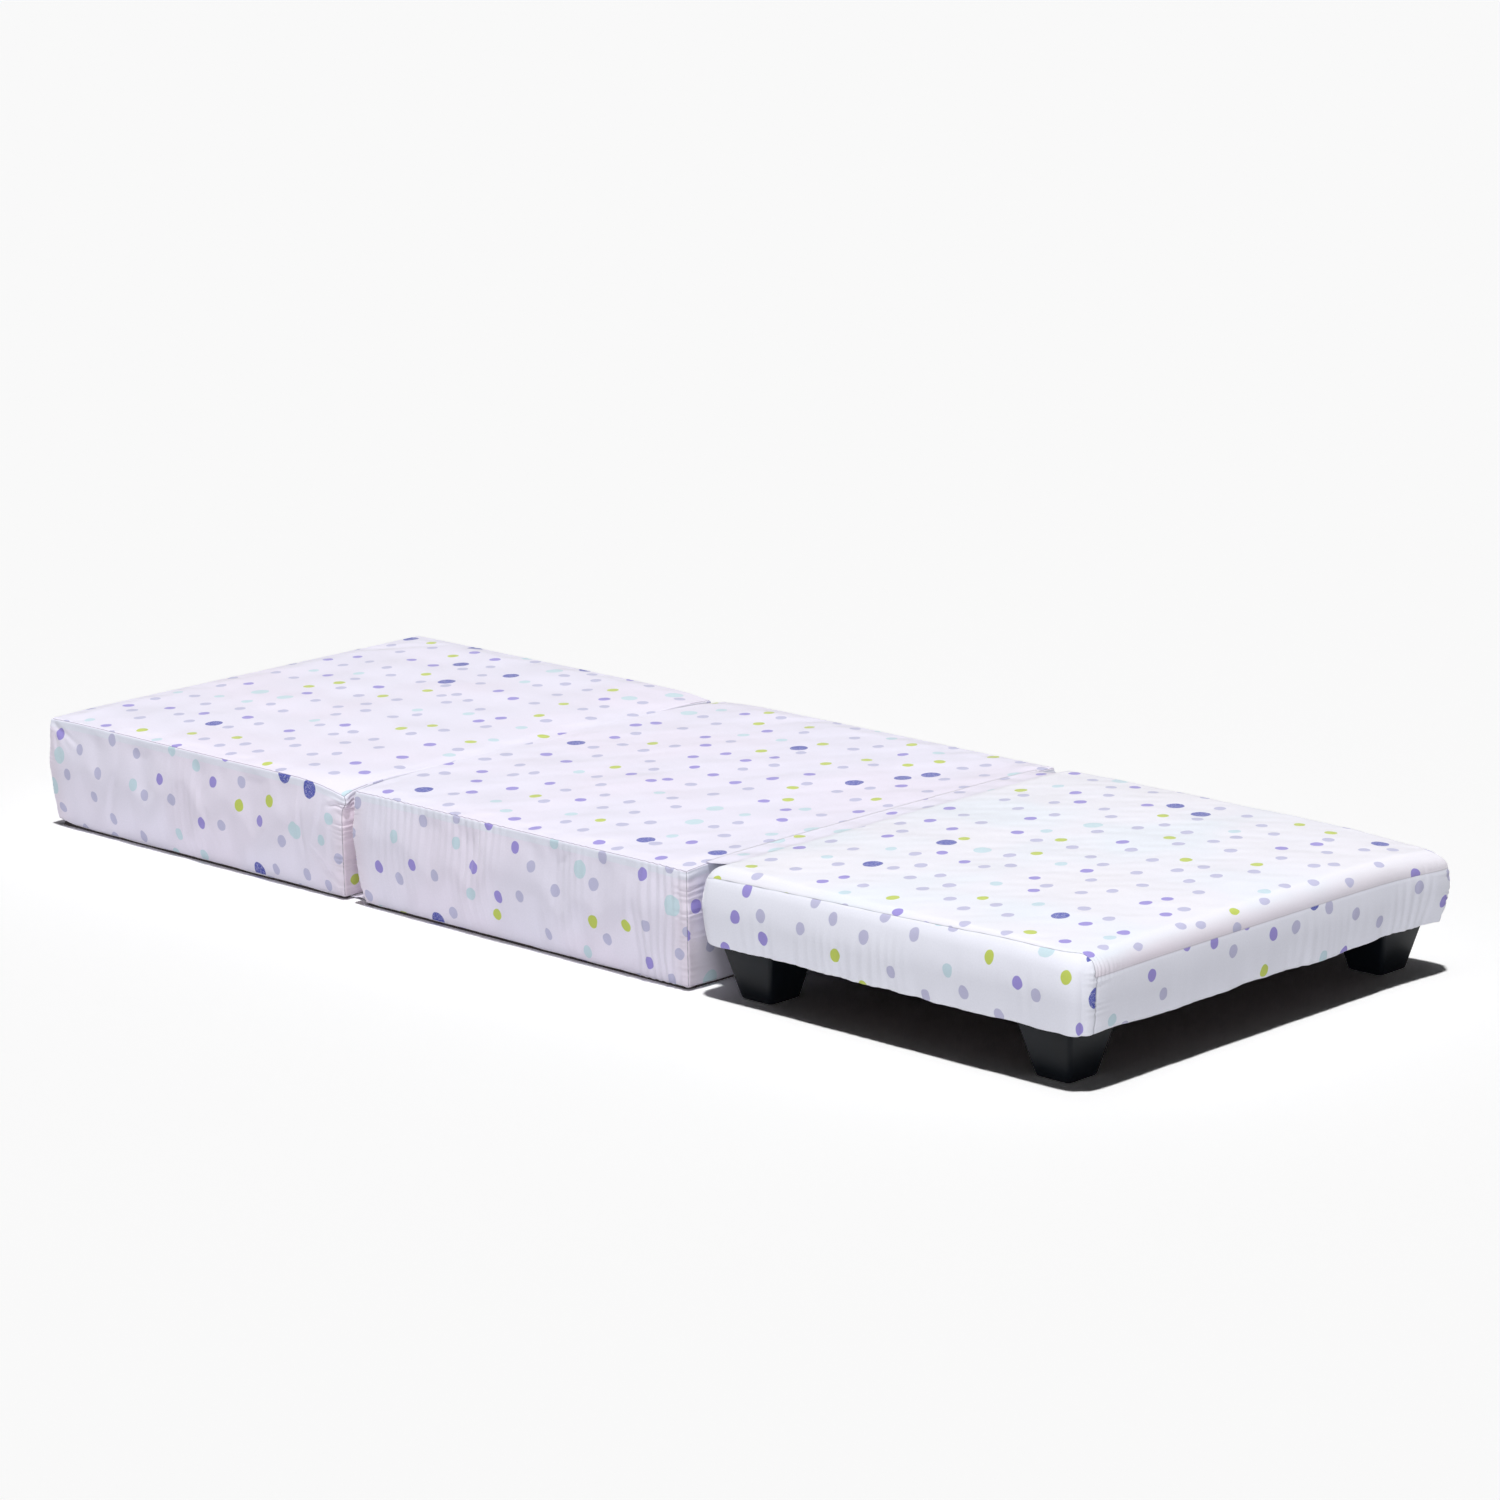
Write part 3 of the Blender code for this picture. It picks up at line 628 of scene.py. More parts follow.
def soft_cover(box, spacing, names, formulas):
    """A cover's flat points, faces and places, and what its folds say of its seams.

    The spacing is what graded takes along each axis, in mm. The formulas are two functions of the flat
    points: the shape, and the heights of the folds, raised along the normals of the settled shape.
    """
    low, high = box
    shape, folds = formulas
    lines = [graded(a, b, *np.multiply(mm, MM)) for a, b, mm in zip(low, high, spacing, strict=True)]
    flat, faces = block(lines, names)
    quads = np.concatenate(list(faces.values()))
    place = shape(flat)
    place += settled(low, high, lines, names, shape)
    height, *seams = folds(flat)
    return flat, faces, quads, place + normals_of(place, quads) * height[:, None], seams


def on_cover(formulas, flat, axis):
    """Points on a cover: its shape, raised along one axis by the height of its folds."""
    shape, folds = formulas
    place = shape(flat)
    place[:, axis] += folds(flat)[0]
    return place


# %% [markdown]
# ## Box cushions
#
# Each cushion is a foam block in a sewn cover. The foam pushes the panels out and the seams hold them in:
# the top is slightly crowned, the sides swell and draw in at the foot, and the two ends that face each
# other nearly touch. Threads pull small puckers along the seams and deeper gathers beside the upright
# ones. These are all heights along the surface's own normal, worked out from the distance to the seam.

# %% Box cushions
# Grid lines along each axis in mm: how far apart at the ends and inside, and how wide the change is.
CUSHION_SPACING = ((1.5, 3.2, 20), (1.5, 7, 60), (1.2, 1.7, 30))
CUSHION_RADIUS = np.array([4, 4.5, 3.5]) * MM
GROOVE_DEPTH = 0.6 * MM
GROOVE_WIDTH = 1.5 * MM
# The rolled edge that meets the other cushion stops this far from the corners.
ROLL_STOP = 45 * MM


def edge_distances(flat, low, high):
    """Distances in from a block's ends, from its front or back and down from its top."""
    end = np.minimum(flat[:, 0] - low[0], high[0] - flat[:, 0])
    side = np.minimum(flat[:, 1] - low[1], high[1] - flat[:, 1])
    return end, side, high[2] - flat[:, 2]


def gathers(along, across, spacing, reach, seed):
    """Folds that a seam gathers: valleys square to it, uneven in place and depth, soon gone.

    Across the folds the height is 0.4 - ((1 + cos) / 2)^1.5: a narrow valley between broad rolls.
    """
    line = along[:, None]
    phase = along / spacing + 0.45 * waves(line, 4.1 * spacing, seed)
    valley = 0.4 - ((1 + np.cos(2 * pi * phase)) / 2) ** 1.5
    strength = np.clip(0.75 + 0.5 * waves(line, 3.3 * spacing, seed + 1), 0.25, 1.3)
    return valley * strength * bell(across, reach, 1.5)


def creases(place, lines):
    """Long pulled folds: a valley with a soft ridge beside it along each (start, end, width, depth) in mm."""
    height = np.zeros(len(place))
    for start, end, width, depth in lines:
        run = np.subtract(end, start) * MM
        reach = width * MM
        from_start = place - np.multiply(start, MM)
        share = np.clip(from_start @ run / (run @ run), 0, 1)
        gap = from_start - share[:, None] * run
        beside = (gap[:, 0] * run[1] - gap[:, 1] * run[0]) / np.linalg.norm(run)
        far = np.linalg.norm(gap, axis=1)
        taper = np.sin(pi * np.clip(0.08 + 0.84 * share, 0, 1))
        ridge = bell(beside - 1.7 * reach, 1.3 * reach) * bell(far, 4 * reach, 4)
        height += depth * MM * taper * (0.6 * ridge - bell(far, reach))
    return height


def cushion_shape(flat, feature):
    """Place of each point of a box cushion before its small folds.

    Sides: swell * 4t(1 - t) - tuck * (1 - t)^2 at share t of the height, plus a bulge at the middle of a
    facing end. Top: crown * (1 - x^2)(1 - y^2), a lift along a hinged edge, and dips at pressed corners.
    """
    low, high = feature["box"]
    size = high - low
    half = size / 2
    middle = feature["middle"]
    place = rounded(flat, low, high, CUSHION_RADIUS)
    across = (flat[:, 0] - middle) / half[0]
    along = flat[:, 1] / half[1]
    up = (flat[:, 2] - low[2]) / size[2]
    swell = feature["swell"] * 4 * up * (1 - up) - feature["tuck"] * (1 - up) ** 2
    facing = np.where(across > 0, feature["bulge_right"], feature["bulge_left"])
    bulge = facing * eased(np.clip((up - 0.15) / 0.7, 0, 1)) * (1 - np.abs(along) ** 3.0)
    front = feature["bulge_front"] * (1 - across**2) * up
    place[:, 0] += outwards(across) * (swell + bulge)
    place[:, 1] += outwards(along) * (swell + front)
    place[:, 2] += up * feature["crown"] * (1 - across**2) * (1 - along**2)
    lift = np.where(across > 0, feature["lift_right"], feature["lift_left"])
    place[:, 2] += up**3 * lift * np.abs(across) ** 14 * np.clip(1 - np.abs(along) ** 6, 0, 1)
    place[:, 2] -= up**2 * dips(flat, middle, half, feature["dips"])
    for corner, move, reach in feature["pulls"]:
        corner = np.array([middle + corner[0] * half[0], corner[1] * half[1], low[2] + corner[2] * size[2]])
        place += bell(np.linalg.norm(flat - corner, axis=1), reach)[:, None] * np.array(move)
    return place


def cushion_folds(flat, feature):
    """Heights of the seams' grooves, puckers and gathers and of the cloth's ripples and pulls.

    The top edge that meets the other cushion is rolled over rather than sewn, so it gets no groove. Also
    the distance to the nearest seam.
    """
    low, high = feature["box"]
    seed = feature["seed"]
    end, side, under = edge_distances(flat, low, high)
    x, y, z = flat[:, 0] - feature["middle"], flat[:, 1], flat[:, 2]
    facing = x > 0 if feature["bulge_right"] else x < 0
    rolled = np.where(facing, 8 * MM, 0) * np.clip((high[1] - ROLL_STOP - np.abs(y)) / (20 * MM), 0, 1)
    upright, long_edge, short_edge = end + side, under + side, under + end + rolled
    nearest = np.minimum(np.minimum(upright, long_edge), short_edge)
    height = -GROOVE_DEPTH * bell(nearest, GROOVE_WIDTH)
    hinged = np.where(x > 0, feature["gather_right"], feature["gather_left"])
    reach = np.where(end < ON_IT, 26 * MM, 13 * MM)
    height += hinged * gathers(z, upright, 9.5 * MM, reach, seed)
    height += 0.5 * MM * gathers(x, long_edge, 13 * MM, 9 * MM, seed + 10)
    height += 0.6 * MM * gathers(y, short_edge, 12 * MM, 11 * MM, seed + 20)
    patches = np.clip(0.25 + waves(np.stack([x, 0.3 * z], 1), 190 * MM, seed + 2), 0.12, 1)
    swayed = x + 2.5 * MM * waves(np.stack([x, z], 1), 110 * MM, seed + 3)
    height += feature["ripple"] * bell(side, 2 * MM) * patches * np.sin(2 * pi * swayed / (13 * MM))
    height += 0.8 * MM * waves(flat, 130 * MM, seed + 4) * np.clip(nearest / (30 * MM), 0, 1)
    height += 0.25 * MM * waves(flat, 38 * MM, seed + 5) * np.clip(nearest / (12 * MM), 0, 1)
    height += 0.7 * MM * waves(z[:, None], 55 * MM, seed + 6) * bell(upright, 10 * MM)
    on_front = y < low[1] + 1 * MM
    height += on_front * creases(np.stack([x, z - low[2]], 1), feature["front_pulls"])
    return height, nearest


def cushion_formulas(feature):
    """A cushion's shape and folds as functions of the flat points alone."""
    return (lambda flat: cushion_shape(flat, feature)), (lambda flat: cushion_folds(flat, feature))


def cloth_map(flat, faces, shift):
    """Each panel's own piece of cloth: the two axes it spans, in metres, from its own corner of the print."""
    corners = []
    for name, quads in faces.items():
        *_, spans, cut = PANELS[name]
        corners.append((flat[quads][:, :, spans] + np.add(cut, shift)).reshape(-1, 2))
    return np.concatenate(corners)


def box_cushion(name, feature, body, replaced):
    """A finished box cushion in printed cotton, with a pinkish painted shade where it faces its neighbour and by
    its upright corners.
    """
    low, high = box = feature["box"]
    formulas = cushion_formulas(feature)
    flat, faces, quads, place, (seam,) = soft_cover(box, CUSHION_SPACING, PANELS, formulas)
    end, side, under = edge_distances(flat, low, high)
    facing = (high[0] - flat[:, 0] if feature["bulge_right"] else flat[:, 0] - low[0]) < ON_IT
    below = np.clip(under / (25 * MM), 0, 1)
    values = {
        "seam": seam,
        "under": under - np.minimum(end, side),
        # Painted shade, strong on the end that faces the other cushion and weaker by the upright corners.
        "painted_pink_shade": below * np.where(facing, 0.9, 0.5 * bell(end + side, 22 * MM)),
    }
    maps = {"cloth": cloth_map(flat, faces, feature["seed"] * 0.917)}
    piece = mesh_from(name, place, quads, maps, values, CUSHION_COTTON)
    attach(piece, body)
    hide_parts(*replaced)


# Dips: end, side, depth, reach. Pulls: corner as shares of the half sizes and the height, move, reach.
# Front pulls, in mm from the middle of the foot: start, end, width, depth.
FEATURES = {
    "swell": 5 * MM,
    "tuck": 6 * MM,
    "crown": 2.5 * MM,
    "bulge_front": 1.5 * MM,
    "bulge_left": 0.0,
    "bulge_right": 0.0,
    "lift_left": 0.0,
    "lift_right": 0.0,
    "ripple": 0.35 * MM,
    "gather_left": 1.2 * MM,
    "gather_right": 1.2 * MM,
    "dips": (),
    "pulls": (),
    "front_pulls": (),
}
HEAD = FEATURES | {
    "middle": HEAD_X,
    "box": section_box(HEAD_X, CUSHION_FOOT, CUSHION_TOP),
    "seed": 3,
    "bulge_right": 13 * MM,
    "lift_right": -0.4 * MM,
    "gather_left": 0.5 * MM,
    "gather_right": 2.6 * MM,
    "dips": ((1, -1, 11 * MM, 42 * MM), (-1, -1, 2 * MM, 40 * MM), (1, 1, 5 * MM, 40 * MM)),
    "pulls": (
        ((1, -1, 0.94), (7 * MM, 1 * MM, -3 * MM), 12 * MM),
        ((1, -1, 1.0), (-3 * MM, 3 * MM, 0), 30 * MM),
        ((-1, -1, 0), (-4 * MM, -2 * MM, 6 * MM), 22 * MM),
        ((-1, -0.6, 0), (-4 * MM, 0, 1 * MM), 90 * MM),
    ),
    "front_pulls": (
        ((-305, 148), (-245, 122), 4, 1.3),
        ((-303, 150), (-268, 120), 4, 1.4),
        ((-300, 150), (-285, 95), 4, 1.4),
        ((248, 64), (304, 12), 3.6, 2.6),
        ((262, 40), (302, 20), 3.0, 1.4),
        ((228, 126), (234, 26), 5, 1.5),
        ((276, 142), (258, 70), 4.5, 1.8),
        ((306, 140), (282, 126), 3.5, 2.2),
        ((292, 118), (284, 30), 4.5, 1.5),
        ((-150, 120), (-190, 10), 6, 1.0),
        ((20, 100), (60, 8), 7, 0.9),
    ),
}
MIDDLE = FEATURES | {
    "middle": MIDDLE_X,
    "box": section_box(MIDDLE_X, CUSHION_FOOT, CUSHION_TOP),
    "seed": 7,
    "bulge_left": 13 * MM,
    "lift_left": 3.2 * MM,
    "lift_right": 5 * MM,
    "ripple": 1.0 * MM,
    "gather_left": 0.7 * MM,
    "gather_right": 2.0 * MM,
    "dips": ((-1, -1, 1 * MM, 30 * MM), (1, -1, 1.5 * MM, 30 * MM), (-1, 1, 4 * MM, 40 * MM)),
    "front_pulls": (
        ((222, 140), (214, 20), 5, 1.6),
        ((250, 120), (247, 40), 4, 1.0),
        ((285, 90), (280, 10), 4, 1.6),
        ((-60, 110), (-90, 10), 6, 0.8),
    ),
}
box_cushion("head_cushion", HEAD, "head", ["head_cover", "head_foam"])
box_cushion("middle_cushion", MIDDLE, "middle", ["middle_cover", "middle_foam"])

# %% [markdown]
# ## Zips
#
# Each cover opens with a zip along the foot of its back face. A coil zip is two woven tapes with a nylon
# spiral sewn to the edge of each. The tapes follow the cover, so they are the cover's own formulas at a few
# heights; the closed coil is a ridge on them, notched where one turn meets the next on the other side.

# %% Zips
COIL_PITCH = 2.6 * MM
COIL_HALF = 2.6 * MM
# How high the coil stands over its tape, in mm.
COIL_HEIGHT = 1.3
TAPE_HALF = 7 * MM
TAPE_LIFT = 0.35 * MM
# Places across half the tape, outside the coil, in mm.
TAPE_PLACES = (3.6, 5, 6.7, 7)


def nylon_zip():
    """Polyamide coil and woven polyester tape, off-white: a soft satin with fine ribs across the tape."""
    material, tree, shader = new_material("polyamide and polyester, zip")
    place = object_place(tree)
    ribs = add(tree, "TexWave", {"bands_direction": "Z"}, Vector=place, Scale=WAVE_RUN / (0.9 * MM))
    colour = cloudy(tree, place, 120.0, 2.0, "#E2E2E9", "#EFEFF4")
    normal = bump(tree, 0.25, 0.15 * MM, ribs.outputs["Fac"])
    set_inputs(shader, Base_Color=colour, Normal=normal, Roughness=0.5, IOR=1.53)
    return material


NYLON_ZIP = nylon_zip()


def zip_tape(name, node, feature, body):
    """Tape and coil over a model zip: coil height 1.3 (1 - (t/w)^2)^0.5 mm, notched by a sine along it."""
    start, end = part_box(node)
    centre = (start.z + end.z) / 2
    along = np.arange(start.x, end.x, COIL_PITCH / 6)
    on_coil = np.linspace(-COIL_HALF, COIL_HALF, 9)
    outside = np.array(TAPE_PLACES) * MM
    across = np.concatenate([-outside[::-1], on_coil, outside])
    x, t = [grid.ravel() for grid in np.meshgrid(along, across, indexing="ij")]
    flat = np.stack([x, np.full(x.size, feature["box"][1][1]), centre + t], axis=1)
    turn = 2 * pi * x / COIL_PITCH + np.where(t > 0, pi, 0)
    arch = np.sqrt(np.clip(1 - (t / COIL_HALF) ** 2, 0, 1))
    coil = arch * (COIL_HEIGHT + 0.25 * np.sin(turn)) - 0.35 * bell(t, 0.4 * MM)
    edge = -0.45 * (np.abs(t) > TAPE_HALF - 0.1 * MM)
    place = on_cover(cushion_formulas(feature), flat, 1)
    place[:, 1] += TAPE_LIFT + MM * np.where(np.abs(t) < COIL_HALF, coil, edge)
    quads = grid_faces(np.arange(x.size).reshape(len(along), len(across)).T)
    piece = mesh_from(name, place, quads, material=NYLON_ZIP)
    thicken(piece, 0.5 * MM, -1)
    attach(piece, body)
    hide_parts(node)


zip_tape("head_zip_tape", "head_zip", HEAD, "head")
zip_tape("middle_zip_tape", "middle_zip", MIDDLE, "middle")

# %% [markdown]
# ## Padded base
#
# The base is a foam slab on a timber frame, under a cover that is pulled down over both. The cover is
# softer than the cushions: its edges are round and its hem hangs loose and wavy. Its seams don't follow
# the edges, so two cloth maps lie over each other, one for the top panel and one for the sides, and a
# signed distance says which of them shows.

# %% Padded base
PAD_LOW, PAD_HIGH = section_box(BASE_X, PAD_FOOT, PAD_TOP)
PAD_SIZE = PAD_HIGH - PAD_LOW
# As for the cushions; across the bed the lines stay close together for 60 mm first.
PAD_SPACING = ((1.5, 3.2, 30), (1.4, 4, 60, 60), (1.5, 2.0, 12))
PAD_RADIUS = np.array([20, 19, 20]) * MM
PAD_CORNER = 45 * MM
PAD_CORNER_SHARE = 0.42
PAD_LEAN = 9 * MM
PAD_LEAN_HEIGHT = 58 * MM
PAD_SWELL = 5 * MM
PAD_TUCK = 0.5 * MM
PAD_CROWN = 5 * MM
PAD_GROOVE_DEPTH = 0.5 * MM
PAD_DIPS = ((1, 1, 9 * MM, 90 * MM), (1, -1, 3 * MM, 60 * MM), (-1, 1, 2 * MM, 60 * MM))
# The far corner of the free end is stuffed out: which way, and how far round it.
STUFFED = np.array([9, 7, 0]) * MM
STUFFED_REACH = 70 * MM
# The top panel's front seam slants: down the front at the hinge end, in on the top at the free end, where
# it curls in further. Its back seam follows the edge, and its end seams lie below theirs.
SEAM_SLANT = 12 * MM
SEAM_CURL = 8 * MM
HINGE_SEAM_DROP = 8 * MM
END_SEAM_DROP = 25 * MM
# The free end's panel is sewn to the front and the back ones this far in from the corners.
FRONT_SEAM_IN = 23 * MM
BACK_SEAM_IN = 12 * MM


def round_corners(place, middle, half):
    """Round the free end's corners seen from above: a square at each shrinks part of the way to a disc."""
    from_middle = place - middle
    over = np.clip(np.abs(from_middle) - (half - PAD_CORNER), 0, None)
    shrink = (over.max(axis=1) / np.maximum(np.linalg.norm(over, axis=1), 1e-9))[:, None] ** PAD_CORNER_SHARE
    at_corner = (over.min(axis=1) > 0) & (from_middle[:, 0] > 0)
    inside = np.abs(from_middle) - over
    return middle + np.sign(from_middle) * (inside + np.where(at_corner[:, None], shrink, 1) * over)


def pad_shape(flat):
    """Place of each point of the base's cover: a rounded block, crowned, swollen, with drooping corners.

    Each change depends on the point's place on the rounded block, so the round edges stay smooth.
    """
    half = PAD_SIZE / 2
    place = rounded(flat, PAD_LOW, PAD_HIGH, PAD_RADIUS)
    across = (place[:, 0] - BASE_X) / half[0]
    along = place[:, 1] / half[1]
    up = (place[:, 2] - PAD_LOW[2]) / PAD_SIZE[2]
    swell = PAD_SWELL * 4 * up * (1 - up) - PAD_TUCK * (1 - up) ** 3
    place[:, 0] += outwards(across) * swell
    lean = PAD_LEAN * np.clip(1 - (PAD_HIGH[2] - place[:, 2]) / PAD_LEAN_HEIGHT, 0, 1) ** 2
    place[:, 1] += outwards(along) * (swell - lean)
    place[:, :2] = round_corners(place[:, :2], np.array([BASE_X, 0.0]), half[:2])
    place[:, 2] += up * PAD_CROWN * (1 - across**4) * (1 - along**4)
    place[:, 2] -= up**2 * dips(flat, BASE_X, half, PAD_DIPS)
    stuffed = np.array([PAD_HIGH[0], PAD_HIGH[1], PAD_LOW[2] + 0.55 * PAD_SIZE[2]])
    far = np.linalg.norm((flat - stuffed) / [1, 1, 0.8], axis=1)
    return place + bell(far, STUFFED_REACH)[:, None] * STUFFED


def pad_panels(flat):
    """Signed distance to the top panel's seam, positive on the top panel, and distance to corner seams."""
    x, y, _ = (flat - PAD_LOW).T
    length, width, _ = PAD_SIZE
    under = PAD_HIGH[2] - flat[:, 2]
    slope = x / length
    inset = SEAM_SLANT * (2 * slope - 1) + SEAM_CURL * np.clip(8 * slope - 7, 0, 1) ** 2
    on_end = length - x < ON_IT
    front = y - under * (y < ON_IT) - inset
    back = (width - y) - under * (width - y < ON_IT)
    right = (length - x) + END_SEAM_DROP - under * on_end
    left = x + HINGE_SEAM_DROP - under * (x < ON_IT)
    top = np.minimum(np.minimum(front, back), np.minimum(right, left))
    corner = np.minimum(np.abs(y - FRONT_SEAM_IN), np.abs(width - BACK_SEAM_IN - y))
    return top, np.where(on_end & (top < 0), corner, 1.0)


def pad_maps(flat, faces):
    """Two cloth maps: the top panel's, unrolled over the edges, and the sides', unrolled round the bed."""
    top_map, side_map = [], []
    length, width, height = PAD_SIZE
    for name, quads in faces.items():
        x, y, z = np.moveaxis(flat[quads] - PAD_LOW, 2, 0)
        under = height - z
        top_x = {"right": x + under, "left": x - under}.get(name, x)
        top_y = {"front": y - under, "back": y + under}.get(name, y)
        top_map.append(np.stack([top_x, top_y], axis=-1).reshape(-1, 2) + 7.3)
        if name in ("right", "left"):
            along, rise = length + y if name == "right" else -y, z
        else:
            front_half = y < width / 2
            inward = np.where(front_half, y, width - y)
            along, rise = np.where(front_half, x, 2 * length + width - x), z + inward
        if name == "right":
            row = np.mean(y, axis=1, keepdims=True)
            along = along + np.where((row > FRONT_SEAM_IN) & (row < width - BACK_SEAM_IN), 3.37, 0)
        side_map.append(np.stack([along, rise], axis=-1).reshape(-1, 2) + 11.9)
    return {"cloth": np.concatenate(top_map), "cloth_side": np.concatenate(side_map)}


def pad_folds(flat):
    """Heights of the base's seam grooves, the ribs along its end seam and the folds of its hem.

    Also the distances to the nearest seam and to the top panel's.
    """
    x, y, z = (flat - PAD_LOW).T
    floor_place = np.stack([x, y], 1)
    top, corner = pad_panels(flat)
    seam = np.minimum(np.abs(top), corner)
    height = -PAD_GROOVE_DEPTH * bell(seam, GROOVE_WIDTH)
    from_end = PAD_HIGH[0] - flat[:, 0]
    from_side = np.minimum(y, PAD_SIZE[1] - y)
    ribs = gathers(y, np.abs(top - 7 * MM), 6.5 * MM, 11 * MM, 51)
    height += 1.2 * MM * bell(from_end, 14 * MM) * ribs * (0.07 + bell(from_side, 80 * MM))
    upright = np.clip(bell(from_side, 3 * MM) + bell(from_end, 3 * MM), 0, 1)
    run = np.stack([x + y, 0.4 * z], 1)
    patches = np.clip(waves(run, 150 * MM, 61) + 0.1, 0, 1) * bell(z - 25 * MM, 42 * MM)
    ripples = np.sin(2 * pi * (x + y + 4 * MM * waves(run, 90 * MM, 62)) / (15 * MM))
    height += 0.6 * MM * upright * patches * ripples
    height += 1.6 * MM * gathers(z, corner, 11 * MM, 16 * MM, 53)
    drape = 1.1 * MM * waves(floor_place, 60 * MM, 55) + 0.45 * MM * waves(floor_place, 24 * MM, 57)
    height += np.exp(-z / (30 * MM)) * drape
    height += 0.7 * MM * waves(flat, 120 * MM, 58) + 0.2 * MM * waves(flat, 34 * MM, 59)
    return height, seam, top


def padded_base():
    """The base's cover, with a hem that hangs in waves and a pinkish painted shade over the edge of its free end.
    """
    names = [name for name in PANELS if name != "bottom"]
    flat, faces, quads, place, (seam, top) = soft_cover(
        (PAD_LOW, PAD_HIGH), PAD_SPACING, names, (pad_shape, pad_folds)
    )
    down = (PAD_HIGH[2] - flat[:, 2]) / PAD_SIZE[2]
    hem = 1.8 * MM * waves(flat[:, :2], 180 * MM, 41) + 0.5 * MM * waves(flat[:, :2], 60 * MM, 43)
    place[:, 2] += down**3 * hem
    end, side, under = edge_distances(flat, PAD_LOW, PAD_HIGH)
    over_edge = (under - np.minimum(end, side)) * (PAD_HIGH[0] - flat[:, 0] < 8 * MM)
    from_front = flat[:, 1] - PAD_LOW[1]
    towards_front = np.clip(1.1 - from_front / (900 * MM), 0, 1) * np.clip(from_front / (25 * MM), 0.3, 1)
    values = {
        "seam": seam,
        "panel": top,
        "under": -np.ones(len(flat)),
        # Painted shade on the top panel over the free end's edge, strongest towards the front.
        "painted_pink_shade": 0.6 * (top > 0) * towards_front * np.clip(over_edge / (20 * MM), 0, 1),
    }
    piece = mesh_from("padded_base", place, quads, pad_maps(flat, faces), values, PAD_COTTON)
    thicken(piece, 1.4 * MM, -1)
    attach(piece, "base")
    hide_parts("pad_cover", "pad_foam")
    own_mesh(piece)


padded_base()

# %% [markdown]
# ## Cloth hinges
#
# A strip of the same cotton joins the middle cushion to the base along their top edges, and another joins
# the two cushions along their feet. Each is one sheet of cloth across the bed. The strip starts a little in
# from the corners, as the sewing does.

# %% Cloth hinges
UPPER_HALF_WIDTH = SECTION_WIDTH / 2 - 38 * MM
LOWER_HALF_WIDTH = SECTION_WIDTH / 2 - 16 * MM
# The lower strip's profile in mm: place along the bed from the hinge, and height over the floor.
LOWER_PROFILE = ((-22, 1.8), (-12, 2.0), (-6, 3.6), (0, 4.8), (6, 3.6), (12, 2.0), (22, 1.8))
CLOTH_LIFT = 0.9 * MM


def strip_lines(half_width):
    """Grid lines along a strip, closer together at its ends."""
    return graded(-half_width, half_width, 2.5 * MM, 5 * MM, 40 * MM)


def strip(name, rows, ys, seed, shift):
    """A sheet of cloth across the bed through rows of points, each row one point for each of the ys.

    Between two rows the sheet is straight, then the whole is eased by averaging each row with its
    neighbours. It sags unevenly: a half sine wave across times slow waves along.
    """
    rows = np.array(rows)
    run = np.concatenate(([0], np.cumsum(np.linalg.norm(np.diff(rows, axis=0), axis=2).mean(axis=1))))
    steps = np.linspace(0, run[-1], 25)
    before = np.clip(np.searchsorted(run, steps, "right") - 1, 0, len(run) - 2)
    share = ((steps - run[before]) / (run[before + 1] - run[before]))[:, None, None]
    places = rows[before] * (1 - share) + rows[before + 1] * share
    for _ in range(6):
        places[1:-1] = places[:-2] / 4 + places[1:-1] / 2 + places[2:] / 4
    sag = np.sin(pi * steps / run[-1])[:, None] * waves(ys[:, None], 70 * MM, seed)
    places[:, :, 2] += 0.7 * MM * sag
    quads = grid_faces(np.arange(places.shape[0] * len(ys)).reshape(places.shape[:2]))
    across, along = np.meshgrid(steps, ys, indexing="ij")
    cloth = np.stack([across, along], axis=-1).reshape(-1, 2)[quads].reshape(-1, 2) + shift
    values = {"seam": across.ravel(), "under": -across.ravel()}
    return mesh_from(name, places.reshape(-1, 3), quads, {"cloth": cloth}, values, CUSHION_COTTON)


def hinge_sheet(piece, replaced):
    """Give a strip a thickness to both sides, bake its place into its points and hide the model's flaps that it
    replaces.
    """
    thicken(piece, 0.8 * MM, 0)
    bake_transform(piece)
    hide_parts(*replaced)


def over_cover(formulas, x, ys, top, lift):
    """Points just over a section's top at x for each of the ys, or just under it for a negative lift."""
    flat = np.stack([np.full(len(ys), x), ys, np.full(len(ys), top)], axis=1)
    return on_cover(formulas, flat, 2) + [0, 0, lift]


ys = strip_lines(UPPER_HALF_WIDTH)
edge_x, _, edge_top = MIDDLE["box"][1]
rows = [
    over_cover(cushion_formulas(MIDDLE), edge_x - inset, ys, edge_top, CLOTH_LIFT)
    for inset in (2.5 * MM, 0.8 * MM)
]
rows += [
    over_cover((pad_shape, pad_folds), PAD_LOW[0] + inset, ys, PAD_HIGH[2], lift)
    for inset, lift in ((7 * MM, CLOTH_LIFT), (10 * MM, CLOTH_LIFT), (16 * MM, -CLOTH_LIFT))
]
hinge_sheet(
    strip("upper_hinge", rows, ys, 61, (17.2, 3.3)),
    ["upper_flap_middle", "upper_flap_base"],
)
ys = strip_lines(LOWER_HALF_WIDTH)
rows = [
    np.stack([np.full(len(ys), LOWER_HINGE[0] + x * MM), ys, np.full(len(ys), z * MM)], axis=1)
    for x, z in LOWER_PROFILE
]
hinge_sheet(
    strip("lower_hinge", rows, ys, 67, (23.7, 9.1)),
    ["lower_flap_head", "lower_flap_middle"],
)

# %% [markdown]
# ## Moulded legs
#
# The legs are injection-moulded black polypropylene: square, tapered towards the foot, with soft upright
# edges. A leg is a rounded square carried up a profile, so its edges stay soft from top to foot and its
# foot gets a small round-over.

